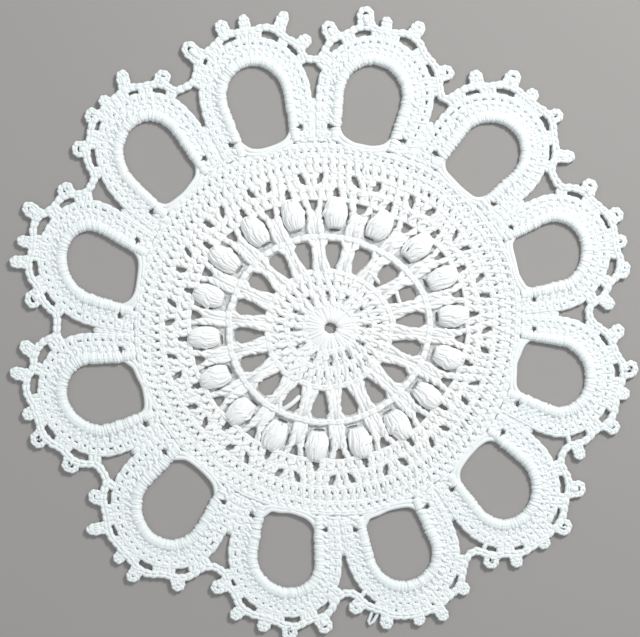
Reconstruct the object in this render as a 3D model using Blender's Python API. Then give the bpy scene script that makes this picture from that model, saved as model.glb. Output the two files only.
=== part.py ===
"""A round crocheted cotton doily, lying flat: one sheet of open work, 236 mm across.

It is worked from a starting ring: three close rounds, eighteen spokes, a round of eighteen popcorns, close
rounds up to the disc's edge, then twelve arched petals, each with a chain edging that carries its picots.
The sheet is drawn as it would be worked evenly, and lay() then moves each point to where hand work and hand
laying leave it.
Bearings are in degrees clockwise from +Y, seen from above. Lengths are in metres.
"""

import math

import bmesh
import bpy

MM = 0.001

# The cloth.
SHEET = 2.2 * MM  # thickness of the stitches as they lie
WELD = 0.005 * MM  # points of the sheet this close are one
POPCORN_TOP = 4.6 * MM  # height of a popcorn over the table

# The disc, from its starting ring outwards.
RING_HOLE = 2.4 * MM
SPOKES = 18
FIRST_GAP = 4.9  # bearing of the first gap between two spokes
SPOKE_STEP = 360 / SPOKES
POPCORN_MID = 45.4 * MM  # radius at the middle of a popcorn
POPCORN_LONG = 10.6 * MM
POPCORN_WIDE = 8.6 * MM
POPCORN_SINK = 0.3 * MM  # how far a popcorn's underside stays above the table
DISC = 71.2 * MM  # radius of the disc, where the petals start

# A petal: an arch of tall stitches round an open hole.
PETALS = 12
FIRST_PETAL = 12.0
PETAL_STEP = 360 / PETALS
ARCH_MID = 89.4 * MM  # radius at the centre of the arch's half circle
HOLE_HALF = 11.2 * MM  # half of the hole's width, and the half circle's radius
HOLE_FOOT = 9.3 * MM  # half of the hole's width at the disc
HOLE_CORNER = 1.4 * MM  # how far its two corners at the disc are rounded
BAND = 10.8 * MM  # width of the stitches round the hole
HOLE_STEPS = 12  # steps round the hole's half circle
FOOT_SLOT_SIDE = 4.6 * MM  # from the hole's side to the middle of the slot at each foot of the petal

# The chain edging of a petal, told by its distance from the centre of the arch. It is four loops that stand
# off the stitches, each with a picot on it, and one more picot between the second loop and the third.
CHAIN_IN = 24.2 * MM
CHAIN_OUT = 27.0 * MM
CHAIN_LOW = 25.4 * MM  # its outer side where it is worked into the stitches
PICOT_WAIST = 0.4 * MM  # a picot's half width is this much less where it leaves the chain
PICOT_FOOT = 26.0 * MM
HEAD_TURNS = (-85, -35, 35, 85)  # the points of the head, in degrees round it
SLIT_HALF = 3.7 * MM
SLIT_CLEAR = 0.15 * MM  # between a slit and the stitches
SLITS_END = 65.0  # no slit runs further round the arch
SLIT_ROOM = 4.5  # the chain stays out over a slit's end by so many degrees
EDGING_END = 68.0
JOINT_CHAIN = 2.6 * MM  # width of the chain that joins two petals

# The gap that two petals leave between them, inside the chain that joins them.
NOTCH_START = 84.0 * MM
NOTCH_SHARE = 0.8  # its width, as a share of the room between two even arches

# Radius and half width, in mm, of the slot at a petal's foot and of the gaps that repeat with the spokes.
FOOT_SLOT = ((74.7, 0.9), (75.5, 2.1), (76.3, 1.3))
SPOKE_GAP = ((24.1, 0.7), (26.8, 1.35), (29.8, 2.6), (32.6, 2.9), (34.6, 1.8))
FORK_GAP = ((44.8, 0.4), (48.0, 1.4), (49.8, 1.1))
FAN_GAP = ((50.6, 1.2), (52.2, 1.1), (54.8, 0.3))
EYELET = ((55.6, 0.7), (57.4, 0.95), (59.5, 0.5))
EYELET_TURNS = (-2.9, 2.9)  # on either side of a popcorn's post, in degrees
EYELET_LEAN = 0.36  # a pair of eyelets leans apart, by this much across for each mm outwards

# How unevenly it lies. A point of the disc is stretched about the disc's own middle, and the starting ring is
# off that middle again. Z is through the middle of the whole cloth's width and depth.
MIDDLE = (0.41 * MM, -0.22 * MM)
DISC_SHIFT = (1.9 * MM, -2.2 * MM)
RING_SHIFT = (1.1 * MM, 0.15 * MM)
RING_SHIFT_ENDS = 30.0 * MM
STRETCH = 0.038  # longer across and shorter up and down, by this share
STRETCH_KEPT = 0.6  # the share of it that is left at the disc's edge
STRETCH_FADES = (30.0 * MM, 71.0 * MM)
PETALS_TAKE_OVER = (55.0 * MM, 69.0 * MM)

# How far hand work has turned (degrees) and moved out (mm) the gaps of each spoke, in the wheel of spokes and
# in the fans further out.
SPOKE_COLUMNS = ("wheel_turn", "wheel_rise", "fan_turn", "fan_rise")
SPOKE_LIE = (
    (-0.8, -0.7, -1.5, -0.4),
    (-1.1, -1.0, 0.9, -0.9),
    (1.0, -0.5, 2.1, 0.7),
    (0.2, 0.3, -0.3, 1.2),
    (-1.1, 0.9, -0.9, 0.7),
    (-1.2, 0.0, 0.2, 0.1),
    (0.0, -0.3, 1.0, -0.7),
    (0.6, -0.1, 0.5, 0.5),
    (0.7, 0.1, 0.2, 0.8),
    (0.0, 0.6, -0.2, 0.7),
    (-0.7, 0.4, -0.8, 0.6),
    (-1.5, 0.3, -0.6, 0.2),
    (-0.7, -0.1, 0.2, -0.1),
    (0.2, -0.8, 0.8, 0.1),
    (0.3, -0.4, 1.3, -0.1),
    (1.2, -0.1, 1.3, 1.3),
    (0.7, 0.0, 0.4, 1.1),
    (-1.2, -0.1, -0.6, 0.5),
)
WHEEL_STARTS = (8.0 * MM, 28.0 * MM)
FANS_TAKE_OVER = (34.0 * MM, 47.0 * MM)

# How each petal lies: the bearings of its root and of its tip, and the radii of its root, of its hole's tip
# and of the chain that joins it to the next petal.
PETAL_COLUMNS = ("root_bearing", "tip_bearing", "root_mm", "tip_mm", "joint_mm")
PETAL_LIE = (
    (12.6, 12.1, 67.6, 98.8, 92.9),
    (45.2, 44.7, 72.0, 101.3, 101.2),
    (73.7, 72.4, 75.2, 101.5, 98.3),
    (101.9, 103.4, 74.3, 101.2, 100.9),
    (131.6, 133.1, 73.9, 103.4, 101.0),
    (160.9, 160.7, 74.2, 102.4, 100.3),
    (189.8, 187.9, 72.0, 100.6, 98.9),
    (219.8, 218.6, 71.2, 101.4, 98.4),
    (250.8, 253.2, 71.5, 99.9, 98.6),
    (282.4, 286.1, 70.6, 99.6, 99.4),
    (313.3, 315.6, 71.0, 102.1, 101.0),
    (343.0, 343.5, 68.2, 100.1, 97.9),
)

# Round each petal's arch, in degrees: the middles of the slits under its four loops.
PETAL_SLITS = (
    (-51, -21, 24, 57),
    (-59, -29, 17, 48),
    (-51, -10, 33, 61),
    (-51, -20, 24, 56),
    (-48, -17, 31, 60),
    (-41, -12, 28, 58),
    (-44, -11, 33, 63),
    (-47, -13, 29, 60),
    (-55, -24, 21, 50),
    (-57, -26, 15, 48),
    (-52, -23, 25, 51),
    (-42, -9, 31, 57),
)

# Its picots: degrees round the arch, how far from the arch's centre each one reaches, and how wide it is,
# both in mm.
PETAL_PICOTS = (
    ((-48, 32.7, 5.9), (-17, 33.1, 6.5), (1, 29.7, 4.2), (23, 32.7, 5.1), (61, 30.1, 5.6)),
    ((-53, 30.6, 4.8), (-28, 31.9, 5.7), (-9, 28.6, 4.8), (16, 30.4, 5.4), (51, 32.3, 5.0)),
    ((-43, 31.2, 6.0), (-11, 30.1, 5.8), (11, 28.4, 5.0), (33, 30.3, 6.2), (60, 31.1, 4.6)),
    ((-49, 31.1, 5.3), (-19, 31.0, 6.0), (0, 28.4, 4.6), (28, 30.6, 5.5), (61, 31.5, 4.3)),
    ((-43, 31.8, 6.0), (-12, 30.0, 6.0), (8, 27.6, 4.6), (36, 30.0, 4.7), (57, 30.8, 5.8)),
    ((-41, 29.3, 5.0), (-13, 30.4, 4.5), (5, 28.4, 4.3), (34, 30.4, 5.1), (46, 31.5, 3.6), (60, 32.0, 5.4)),
    ((-38, 31.6, 5.9), (-8, 30.6, 5.8), (13, 29.4, 4.7), (35, 31.1, 4.6), (60, 31.0, 5.2)),
    ((-42, 30.4, 4.9), (-8, 31.1, 5.0), (10, 29.1, 4.3), (34, 32.5, 4.2), (56, 30.0, 5.0)),
    ((-51, 30.2, 6.0), (-22, 30.9, 6.0), (-2, 29.2, 4.8), (28, 33.0, 4.5), (46, 32.7, 4.8)),
    ((-48, 30.5, 6.2), (-20, 32.4, 4.6), (-4, 30.4, 4.3), (20, 33.5, 5.4), (51, 30.2, 6.0)),
    ((-45, 31.1, 6.0), (-17, 29.0, 5.6), (0, 27.9, 4.4), (20, 32.3, 5.0), (52, 31.5, 5.8)),
    ((-42, 33.3, 6.5), (-10, 31.2, 5.0), (8, 30.7, 4.2), (37, 34.1, 4.7), (59, 31.6, 5.0)),
)


def eased(value, start, end):
    """0 up to start, 1 past end, and a smooth step between them."""
    share = min(1.0, max(0.0, (value - start) / (end - start)))
    return share * share * (3 - 2 * share)


def beside(values, turn):
    """The value at any turn of the doily, in rows, read off the two rows beside it."""
    before = int(turn) % len(values)
    after = (before + 1) % len(values)
    return values[before] + (values[after] - values[before]) * eased(turn - int(turn), 0.0, 1.0)


def spoke_value(column, bearing):
    """A column of SPOKE_LIE at any bearing."""
    index = SPOKE_COLUMNS.index(column)
    return beside([row[index] for row in SPOKE_LIE], ((bearing - FIRST_GAP) / SPOKE_STEP) % SPOKES)


def petal_value(column, bearing):
    """A column of PETAL_LIE at any bearing. Bearings come as a shift."""
    index = PETAL_COLUMNS.index(column)
    values = [row[index] for row in PETAL_LIE]
    if column.endswith("bearing"):
        values = [value - FIRST_PETAL - petal * PETAL_STEP for petal, value in enumerate(values)]
    return beside(values, ((bearing - FIRST_PETAL) / PETAL_STEP) % PETALS)


def polar(bearing, radius):
    angle = math.radians(bearing)
    return radius * math.sin(angle), radius * math.cos(angle)


def lay(bearing, radius):
    """The place on the table, x and y, of a point of the evenly worked doily."""
    fans = eased(radius, *FANS_TAKE_OVER)
    wheel = eased(radius, *WHEEL_STARTS) * (1 - fans)
    turn = wheel * spoke_value("wheel_turn", bearing) + fans * spoke_value("fan_turn", bearing)
    rise = wheel * spoke_value("wheel_rise", bearing) + fans * spoke_value("fan_rise", bearing)
    even_x, even_y = polar(bearing + turn, radius + rise * MM)
    stretch = STRETCH * (1 - (1 - STRETCH_KEPT) * eased(radius, *STRETCH_FADES))
    ring = 1 - eased(radius, 0.0, RING_SHIFT_ENDS)
    disc_x = even_x * (1 + stretch) + DISC_SHIFT[0] + RING_SHIFT[0] * ring
    disc_y = even_y * (1 - stretch) + DISC_SHIFT[1] + RING_SHIFT[1] * ring

    hole_tip = ARCH_MID + HOLE_HALF
    out = min(1.0, max(0.0, (radius - DISC) / (hole_tip - DISC)))
    root_turn = petal_value("root_bearing", bearing)
    tip_turn = petal_value("tip_bearing", bearing)
    root_rise = petal_value("root_mm", bearing) * MM - DISC
    tip_rise = petal_value("tip_mm", bearing) * MM - hole_tip
    turned = bearing + root_turn + (tip_turn - root_turn) * out
    petal_x, petal_y = polar(turned, radius + root_rise + (tip_rise - root_rise) * out)

    petals = eased(radius, *PETALS_TAKE_OVER)
    x = disc_x + (petal_x - disc_x) * petals
    y = disc_y + (petal_y - disc_y) * petals
    return x - MIDDLE[0], y - MIDDLE[1]


def lay_across(bearing, across, outward):
    """The same for a point told from a ray of that bearing: so far to its right, and so far out along it."""
    turn = math.degrees(math.atan2(across, outward))
    return lay(bearing + turn, math.hypot(across, outward))


def on_arch(bearing, turn, distance):
    """A point so many degrees round the arch of the petal on that bearing, at a distance from its centre."""
    across, outward = polar(turn, distance)
    return lay_across(bearing, across, ARCH_MID + outward)


def petal_rows():
    """Each petal's bearing in the even doily, with its rows of PETAL_LIE, PETAL_SLITS and PETAL_PICOTS."""
    for petal, (lie, slits, picots) in enumerate(zip(PETAL_LIE, PETAL_SLITS, PETAL_PICOTS)):
        yield FIRST_PETAL + petal * PETAL_STEP, dict(zip(PETAL_COLUMNS, lie)), slits, picots


def spoke_gap_bearings():
    return [FIRST_GAP + gap * SPOKE_STEP for gap in range(SPOKES)]


def round_hole(radius, points):
    return [lay(360 * n / points, radius) for n in range(points)]


def gap_outline(bearing, profile, lean=0.0, aside=0.0):
    """A hole along a ray, or aside from it. The profile gives radius and half width, in mm."""
    start = profile[0][0]
    middles = [(radius, half, aside + lean * (radius - start) * MM) for radius, half in profile]
    right = [(middle + half * MM, radius * MM) for radius, half, middle in middles]
    left = [(middle - half * MM, radius * MM) for radius, half, middle in reversed(middles)]
    return [lay_across(bearing, *point) for point in right + left]


def petal_hole(bearing):
    """Straight across its foot on the disc, with rounded corners, sides that lean out, and a half circle."""
    straight = HOLE_FOOT - HOLE_CORNER
    foot = [lay_across(bearing, side * HOLE_FOOT, DISC + HOLE_CORNER) for side in (-1, 1)]
    foot[1:1] = [lay_across(bearing, share * straight, DISC) for share in (-1.0, -0.4, 0.4, 1.0)]
    waist = (HOLE_FOOT + HOLE_HALF) / 2
    middle = (DISC + ARCH_MID) / 2
    right = [lay_across(bearing, waist, middle)]
    left = [lay_across(bearing, -waist, middle)]
    top = [on_arch(bearing, 90 - 180 * n / HOLE_STEPS, HOLE_HALF) for n in range(HOLE_STEPS + 1)]
    return foot + right + top + left


def joint_radius(bearing, lie):
    """The even doily's radius for the inner side of the chain that joins this petal to the next."""
    target = lie["joint_mm"] * MM
    x, y = lay(bearing + PETAL_STEP / 2, target)
    return 2 * target - math.hypot(x + MIDDLE[0], y + MIDDLE[1])


def petal_notch(bearing, lie):
    """The narrow triangle between two petals, on the ray between them, up to the chain that joins them."""
    outer = joint_radius(bearing, lie)
    reach = HOLE_HALF + BAND
    profile = [(NOTCH_START / MM, 0.3)]
    for step in (0.35, 0.7, 1.0):
        radius = NOTCH_START + (outer - NOTCH_START) * step
        up = (radius**2 + ARCH_MID**2 - reach**2) / (2 * ARCH_MID)
        side = math.atan2(math.sqrt(radius**2 - up**2), up)
        half = NOTCH_SHARE * radius * (math.radians(PETAL_STEP / 2) - side)
        profile.append((radius / MM, half / MM + 0.3))
    return gap_outline(bearing + PETAL_STEP / 2, profile)


def slit_spans(slits):
    """Where the slits under the four loops start and end, in degrees round the arch."""
    half = math.degrees(SLIT_HALF / (HOLE_HALF + BAND))
    for middle in slits:
        yield max(middle - half, -SLITS_END), min(middle + half, SLITS_END)


def loop_slit(bearing, start, end):
    """The slit between a petal's stitches and one loop of its chain edging."""
    inner = HOLE_HALF + BAND + SLIT_CLEAR
    across = [start + (end - start) * share for share in (0.1, 0.5, 0.9)]
    low = [on_arch(bearing, turn, inner) for turn in across]
    high = [on_arch(bearing, turn, CHAIN_IN) for turn in reversed(across)]
    middle = (inner + CHAIN_IN) / 2
    return low + [on_arch(bearing, end, middle)] + high + [on_arch(bearing, start, middle)]


def picot_outline(bearing, picot, tip, head):
    """A knob: a neck that leaves the chain, and a round head of that radius."""
    middle = tip - head
    foot = min(PICOT_FOOT, middle)
    neck = math.degrees((head - PICOT_WAIST) / foot)
    points = [on_arch(bearing, picot - neck, foot)]
    for turn in HEAD_TURNS:
        across, outward = polar(turn, head)
        swing = picot + math.degrees(across / middle)
        points.append(on_arch(bearing, swing, middle + outward))
    points.append(on_arch(bearing, picot + neck, foot))
    return points


def chain_outer(turn, slits):
    """How far from the arch's centre the chain's outer side lies: further out over a slit."""
    over_slit = any(start - SLIT_ROOM < turn < end + SLIT_ROOM for start, end in slit_spans(slits))
    return CHAIN_OUT if over_slit else CHAIN_LOW


def outer_edge():
    """Once round the doily: each petal's chain and picots, then the chain that joins it to the next petal."""
    points = []
    for bearing, lie, slits, picots in petal_rows():
        points.append(on_arch(bearing, -EDGING_END, CHAIN_OUT))
        for index, (turn, reach, wide) in enumerate(picots):
            points += picot_outline(bearing, turn, reach * MM, wide / 2 * MM)
            if index + 1 < len(picots):
                between = (turn + picots[index + 1][0]) / 2
                points.append(on_arch(bearing, between, chain_outer(between, slits)))
        points.append(on_arch(bearing, EDGING_END, CHAIN_OUT))
        points.append(lay(bearing + PETAL_STEP / 2, joint_radius(bearing, lie) + JOINT_CHAIN))
    return points


def gaps_of_disc():
    holes = [round_hole(RING_HOLE, 12)]
    for bearing in spoke_gap_bearings():
        post = bearing + SPOKE_STEP / 2
        holes.append(gap_outline(bearing, SPOKE_GAP))
        holes.append(gap_outline(bearing, FAN_GAP))
        holes.append(gap_outline(post, FORK_GAP))
        for turn in EYELET_TURNS:
            holes.append(gap_outline(post + turn, EYELET, math.copysign(EYELET_LEAN, turn)))
    return holes


def gaps_of_petals():
    holes = []
    for bearing, lie, slits, _ in petal_rows():
        holes.append(petal_hole(bearing))
        holes.append(petal_notch(bearing, lie))
        holes += [loop_slit(bearing, start, end) for start, end in slit_spans(slits)]
        for side in (-1, 1):
            holes.append(gap_outline(bearing, FOOT_SLOT, aside=side * (HOLE_FOOT + FOOT_SLOT_SIDE)))
    return holes


def clear_scene():
    for obj in list(bpy.data.objects):
        bpy.data.objects.remove(obj)


def collection(name):
    found = bpy.data.collections.new(name)
    bpy.context.scene.collection.children.link(found)
    return found


def white_cotton():
    material = bpy.data.materials.new("white_cotton")
    material.use_nodes = True
    shader = material.node_tree.nodes["Principled BSDF"]
    shader.inputs["Base Color"].default_value = (0.93, 0.93, 0.91, 1)
    shader.inputs["Roughness"].default_value = 0.85
    shader.inputs["Metallic"].default_value = 0.0
    return material


def drawn_flat(outlines):
    """The outlines as one filled flat curve, extruded to the cloth's thickness."""
    drawing = bpy.data.curves.new("sheet_outline", "CURVE")
    drawing.dimensions = "2D"
    drawing.fill_mode = "BOTH"
    drawing.extrude = SHEET / 2
    for outline in outlines:
        spline = drawing.splines.new("POLY")
        spline.points.add(len(outline) - 1)
        for point, (x, y) in zip(spline.points, outline):
            point.co = (x, y, 0, 1)
        spline.use_cyclic_u = True
    guide = bpy.data.objects.new("sheet_outline", drawing)
    bpy.context.scene.collection.objects.link(guide)
    return guide


def sheet_mesh(outlines):
    """The cloth as one closed mesh, its underside on the table at z = 0."""
    guide = drawn_flat(outlines)
    graph = bpy.context.evaluated_depsgraph_get()
    mesh = bpy.data.meshes.new_from_object(guide.evaluated_get(graph))
    bpy.data.objects.remove(guide)
    cage = bmesh.new()
    cage.from_mesh(mesh)
    bmesh.ops.remove_doubles(cage, verts=cage.verts, dist=WELD)
    bmesh.ops.translate(cage, verts=cage.verts, vec=(0, 0, SHEET / 2))
    cage.to_mesh(mesh)
    cage.free()
    return mesh


def popcorn_dome(bearing, into):
    """A popcorn: a round bud that stands up out of the sheet."""
    x, y = lay(bearing, POPCORN_MID)
    half = (POPCORN_TOP - POPCORN_SINK) / 2
    bpy.ops.mesh.primitive_uv_sphere_add(segments=16, ring_count=8, radius=1.0)
    dome = bpy.context.object
    dome.name = f"popcorn_{bearing:05.1f}"
    dome.scale = (POPCORN_WIDE / 2, POPCORN_LONG / 2, half)
    dome.rotation_euler.z = -math.radians(bearing)
    dome.location = (x, y, POPCORN_TOP - half)
    for owner in dome.users_collection:
        owner.objects.unlink(dome)
    into.objects.link(dome)
    dome.hide_render = True
    dome.display_type = "WIRE"


def make_doily():
    clear_scene()
    parts = collection("lace_doily")
    domes = collection("popcorn_domes")
    mesh = sheet_mesh([outer_edge()] + gaps_of_disc() + gaps_of_petals())
    mesh.materials.clear()
    mesh.materials.append(white_cotton())
    doily = bpy.data.objects.new("doily", mesh)
    parts.objects.link(doily)
    for bearing in spoke_gap_bearings():
        popcorn_dome(bearing, domes)
    raise_popcorns = doily.modifiers.new("raise_popcorns", "BOOLEAN")
    raise_popcorns.operation = "UNION"
    raise_popcorns.operand_type = "COLLECTION"
    raise_popcorns.collection = domes
    raise_popcorns.solver = "EXACT"


make_doily()
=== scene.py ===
# %% [markdown]
# # A crocheted lace doily
# A doily is worked from one length of cotton thread, from a ring in the middle to the picots at the rim.
# Its flat solid comes packed and stays in the frame for collision. This lesson replaces it with the thread
# itself: every stitch is laid as strands, round after round, in the order that the hook makes them.
# Lengths are in millimetres until a mesh is made. Bearings are in degrees clockwise from +Y, seen from above.

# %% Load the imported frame
import math

import bpy
import numpy as np
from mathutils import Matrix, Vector


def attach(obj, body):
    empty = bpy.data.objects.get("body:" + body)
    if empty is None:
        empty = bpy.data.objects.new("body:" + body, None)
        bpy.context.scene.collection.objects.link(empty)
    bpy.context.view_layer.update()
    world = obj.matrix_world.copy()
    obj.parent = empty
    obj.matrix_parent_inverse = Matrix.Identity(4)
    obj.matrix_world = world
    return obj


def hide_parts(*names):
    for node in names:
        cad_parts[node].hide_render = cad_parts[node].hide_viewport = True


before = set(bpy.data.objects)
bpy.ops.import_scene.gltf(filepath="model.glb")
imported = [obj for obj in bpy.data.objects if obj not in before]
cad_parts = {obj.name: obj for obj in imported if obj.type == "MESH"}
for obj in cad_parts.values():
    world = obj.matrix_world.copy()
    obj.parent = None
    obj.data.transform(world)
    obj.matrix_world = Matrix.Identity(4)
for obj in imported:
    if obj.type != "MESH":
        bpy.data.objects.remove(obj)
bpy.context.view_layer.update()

MM = 0.001

# %% [markdown]
# ## How the cloth lies
# Worked evenly, a doily would be a true circle. Hand work and hand laying pull it about, so no two of its
# gaps are quite alike. Each stitch could be set where it ended up, but then a change to one means setting
# all its neighbours again. So everything is designed on an even doily, and one function, lay(), says where
# each of its points comes to lie. The same numbers made the solid, so the thread follows it.

# %% The sizes of the even doily
SPOKES = 18
SPOKE_STEP = 360 / SPOKES
FIRST_GAP = 4.9  # bearing of the first gap between two spokes
RING_HOLE = 2.4  # radius of the hole in the starting ring
POPCORN_MID = 45.4  # from the doily's middle to a popcorn's
POPCORN_LONG = 10.6
POPCORN_WIDE = 8.6
DISC = 71.2  # radius of the disc that the petals stand on
PETALS = 12
PETAL_STEP = 360 / PETALS
FIRST_PETAL = 12.0  # bearing of the first petal
ARCH_MID = 89.4  # from the doily's middle to the centre of a petal's round crown
HOLE_HALF = 11.2  # half the width of a petal's opening at the crown
HOLE_FOOT = 9.3  # and at its foot
BAND = 10.8  # width of the stitches round the opening
EDGING_END = 66.0  # how far round its petal an edging holds on, at the least, in degrees
EDGING_FURTHEST = 79.0  # and at the most
JOINT_CHAIN = 2.6  # width of the chain that joins two petals' edgings
NOTCH_START = 84.0  # radius where two petals part
SLITS_END = 65.0  # no slit of the edging runs further round the arch, in degrees
petal_bearings = FIRST_PETAL + PETAL_STEP * np.arange(PETALS)
gap_bearings = FIRST_GAP + SPOKE_STEP * np.arange(SPOKES)
post_bearings = gap_bearings + SPOKE_STEP / 2
print(PETALS, "petals,", SPOKES, "spokes")

# %% [markdown]
# In the wheel and the fans, each of the eighteen gaps sits a little off its even place. One row tells it for
# one gap, and the stitches between two gaps follow both, so nothing tears.

# %% How each spoke's gaps lie, turned by degrees and moved out by mm
SPOKE_COLUMNS = ("wheel_turn", "wheel_rise", "fan_turn", "fan_rise")
SPOKE_LIE = (
    (-0.8, -0.7, -1.5, -0.4),
    (-1.1, -1.0, 0.9, -0.9),
    (1.0, -0.5, 2.1, 0.7),
    (0.2, 0.3, -0.3, 1.2),
    (-1.1, 0.9, -0.9, 0.7),
    (-1.2, 0.0, 0.2, 0.1),
    (0.0, -0.3, 1.0, -0.7),
    (0.6, -0.1, 0.5, 0.5),
    (0.7, 0.1, 0.2, 0.8),
    (0.0, 0.6, -0.2, 0.7),
    (-0.7, 0.4, -0.8, 0.6),
    (-1.5, 0.3, -0.6, 0.2),
    (-0.7, -0.1, 0.2, -0.1),
    (0.2, -0.8, 0.8, 0.1),
    (0.3, -0.4, 1.3, -0.1),
    (1.2, -0.1, 1.3, 1.3),
    (0.7, 0.0, 0.4, 1.1),
    (-1.2, -0.1, -0.6, 0.5),
)
print(len(SPOKE_LIE), "gaps lie their own way")

# %% [markdown]
# The petals are free at their tips, so they differ most. Each leans and reaches out in its own way, and joins
# the next one at its own radius.

# %% How each petal lies, by bearings and radii
PETAL_COLUMNS = ("root_bearing", "tip_bearing", "root", "tip", "joint")
PETAL_LIE = (
    (12.6, 12.1, 67.6, 98.8, 92.9),
    (45.2, 44.7, 72.0, 101.3, 101.2),
    (73.7, 72.4, 75.2, 101.5, 98.3),
    (101.9, 103.4, 74.3, 101.2, 100.9),
    (131.6, 133.1, 73.9, 103.4, 101.0),
    (160.9, 160.7, 74.2, 102.4, 100.3),
    (189.8, 187.9, 72.0, 100.6, 98.9),
    (219.8, 218.6, 71.2, 101.4, 98.4),
    (250.8, 253.2, 71.5, 99.9, 98.6),
    (282.4, 286.1, 70.6, 99.6, 99.4),
    (313.3, 315.6, 71.0, 102.1, 101.0),
    (343.0, 343.5, 68.2, 100.1, 97.9),
)
print(len(PETAL_LIE), "petals, with tips from", min(row[3] for row in PETAL_LIE), "mm out")

# %% [markdown]
# The edging stands off each petal in four loops, and a slit stays open under each loop. It is wide where the
# chain was worked loosely and nearly shut where it was pulled tight. A size for each slit would be hard to
# read, so each is one of five kinds.

# %% The slits under the edging's loops
PETAL_SLITS = (  # the middles of the slits under a petal's four loops, in degrees round its arch
    (-51, -21, 24, 57),
    (-59, -29, 17, 48),
    (-51, -10, 33, 61),
    (-51, -20, 24, 56),
    (-48, -17, 31, 60),
    (-41, -12, 28, 58),
    (-44, -11, 33, 63),
    (-47, -13, 29, 60),
    (-55, -24, 21, 50),
    (-57, -26, 15, 48),
    (-52, -23, 25, 51),
    (-42, -9, 31, 57),
)
SLIT_KINDS = {  # mm from the arch's centre to the chain's inner side, and half the slit's length in degrees
    "shut": (23.0, 3),
    "short": (23.4, 6),
    "thin": (23.2, 9),
    "open": (24.0, 9),
    "wide": (24.7, 10),
}
SLIT_OPEN = (  # how each of those slits looks
    ("open", "open", "wide", "thin"),
    ("thin", "open", "open", "thin"),
    ("open", "thin", "wide", "open"),
    ("thin", "open", "open", "open"),
    ("open", "thin", "short", "open"),
    ("thin", "shut", "shut", "open"),
    ("open", "open", "open", "thin"),
    ("open", "open", "short", "thin"),
    ("open", "open", "wide", "wide"),
    ("thin", "open", "wide", "open"),
    ("open", "short", "short", "open"),
    ("short", "thin", "wide", "open"),
)
print(sum(kinds.count("shut") for kinds in SLIT_OPEN), "slits are shut")

# %% [markdown]
# Each petal has five picots, and one petal has six. They come where the maker's hand put them, and some are
# pulled longer or pressed wider than others, so each has its own place and size.

# %% The picots round each petal
PETAL_PICOTS = (  # degrees round the arch, how far from its centre each picot reaches, and how wide it is
    ((-48, 32.7, 5.9), (-17, 33.1, 6.5), (1, 29.7, 4.2), (23, 32.7, 5.1), (61, 30.1, 5.6)),
    ((-53, 30.6, 4.8), (-28, 31.9, 5.7), (-9, 28.6, 4.8), (16, 30.4, 5.4), (51, 32.3, 5.0)),
    ((-43, 31.2, 6.0), (-11, 30.1, 5.8), (11, 28.4, 5.0), (33, 30.3, 6.2), (60, 31.1, 4.6)),
    ((-49, 31.1, 5.3), (-19, 31.0, 6.0), (0, 28.4, 4.6), (28, 30.6, 5.5), (61, 31.5, 4.3)),
    ((-43, 31.8, 6.0), (-12, 30.0, 6.0), (8, 27.6, 4.6), (36, 30.0, 4.7), (57, 30.8, 5.8)),
    ((-41, 29.3, 5.0), (-13, 30.4, 4.5), (5, 28.4, 4.3), (34, 30.4, 5.1), (46, 31.5, 3.6), (60, 32.0, 5.4)),
    ((-38, 31.6, 5.9), (-8, 30.6, 5.8), (13, 29.4, 4.7), (35, 31.1, 4.6), (60, 31.0, 5.2)),
    ((-42, 30.4, 4.9), (-8, 31.1, 5.0), (10, 29.1, 4.3), (34, 32.5, 4.2), (56, 30.0, 5.0)),
    ((-51, 30.2, 6.0), (-22, 30.9, 6.0), (-2, 29.2, 4.8), (28, 33.0, 4.5), (46, 32.7, 4.8)),
    ((-48, 30.5, 6.2), (-20, 32.4, 4.6), (-4, 30.4, 4.3), (20, 33.5, 5.4), (51, 30.2, 6.0)),
    ((-45, 31.1, 6.0), (-17, 29.0, 5.6), (0, 27.9, 4.4), (20, 32.3, 5.0), (52, 31.5, 5.8)),
    ((-42, 33.3, 6.5), (-10, 31.2, 5.0), (8, 30.7, 4.2), (37, 34.1, 4.7), (59, 31.6, 5.0)),
)
print(sum(len(picots) for picots in PETAL_PICOTS), "picots")

# %% [markdown]
# lay() blends four movements, each over the radii where its part of the doily holds: the starting ring has
# slid on the disc, the disc is stretched a little across, the gaps of the wheel and the fans sit off their
# places, and the petals lean. The blends are smooth, so a strand that crosses two parts has no kink.

# %% Where a point of the even doily lies on the table
MIDDLE = (0.41, -0.22)  # the middle of the cloth's width and depth, which lies over the origin
DISC_SHIFT = (1.9, -2.2)  # how far the disc has slid against the petals
RING_SHIFT = (1.1, 0.15)  # and the starting ring against the disc
RING_SHIFT_ENDS = 30.0  # radius up to which the ring takes the stitches along
STRETCH = 0.038  # longer across and shorter up and down, by this share
STRETCH_KEPT = 0.6  # the share of it that is left at the disc's edge
STRETCH_FADES = (30.0, 71.0)
WHEEL_STARTS = (8.0, 28.0)  # radii between which each part's own places take over
FANS_TAKE_OVER = (34.0, 47.0)
PETALS_TAKE_OVER = (55.0, 69.0)


def eased(value, start, end):
    """0 up to start, 1 past end, and a smooth step between them."""
    share = np.clip((value - start) / (end - start), 0.0, 1.0)
    return share * share * (3 - 2 * share)


def beside(values, turn):
    """The values at any turns of the doily, in rows, each read off the two rows beside it."""
    before = np.floor(turn).astype(int) % len(values)
    after = (before + 1) % len(values)
    return values[before] + (values[after] - values[before]) * eased(turn - np.floor(turn), 0.0, 1.0)


def spoke_value(column, bearing):
    """A column of SPOKE_LIE at any bearing."""
    values = np.array([row[SPOKE_COLUMNS.index(column)] for row in SPOKE_LIE], float)
    return beside(values, ((bearing - FIRST_GAP) / SPOKE_STEP) % SPOKES)


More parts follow.
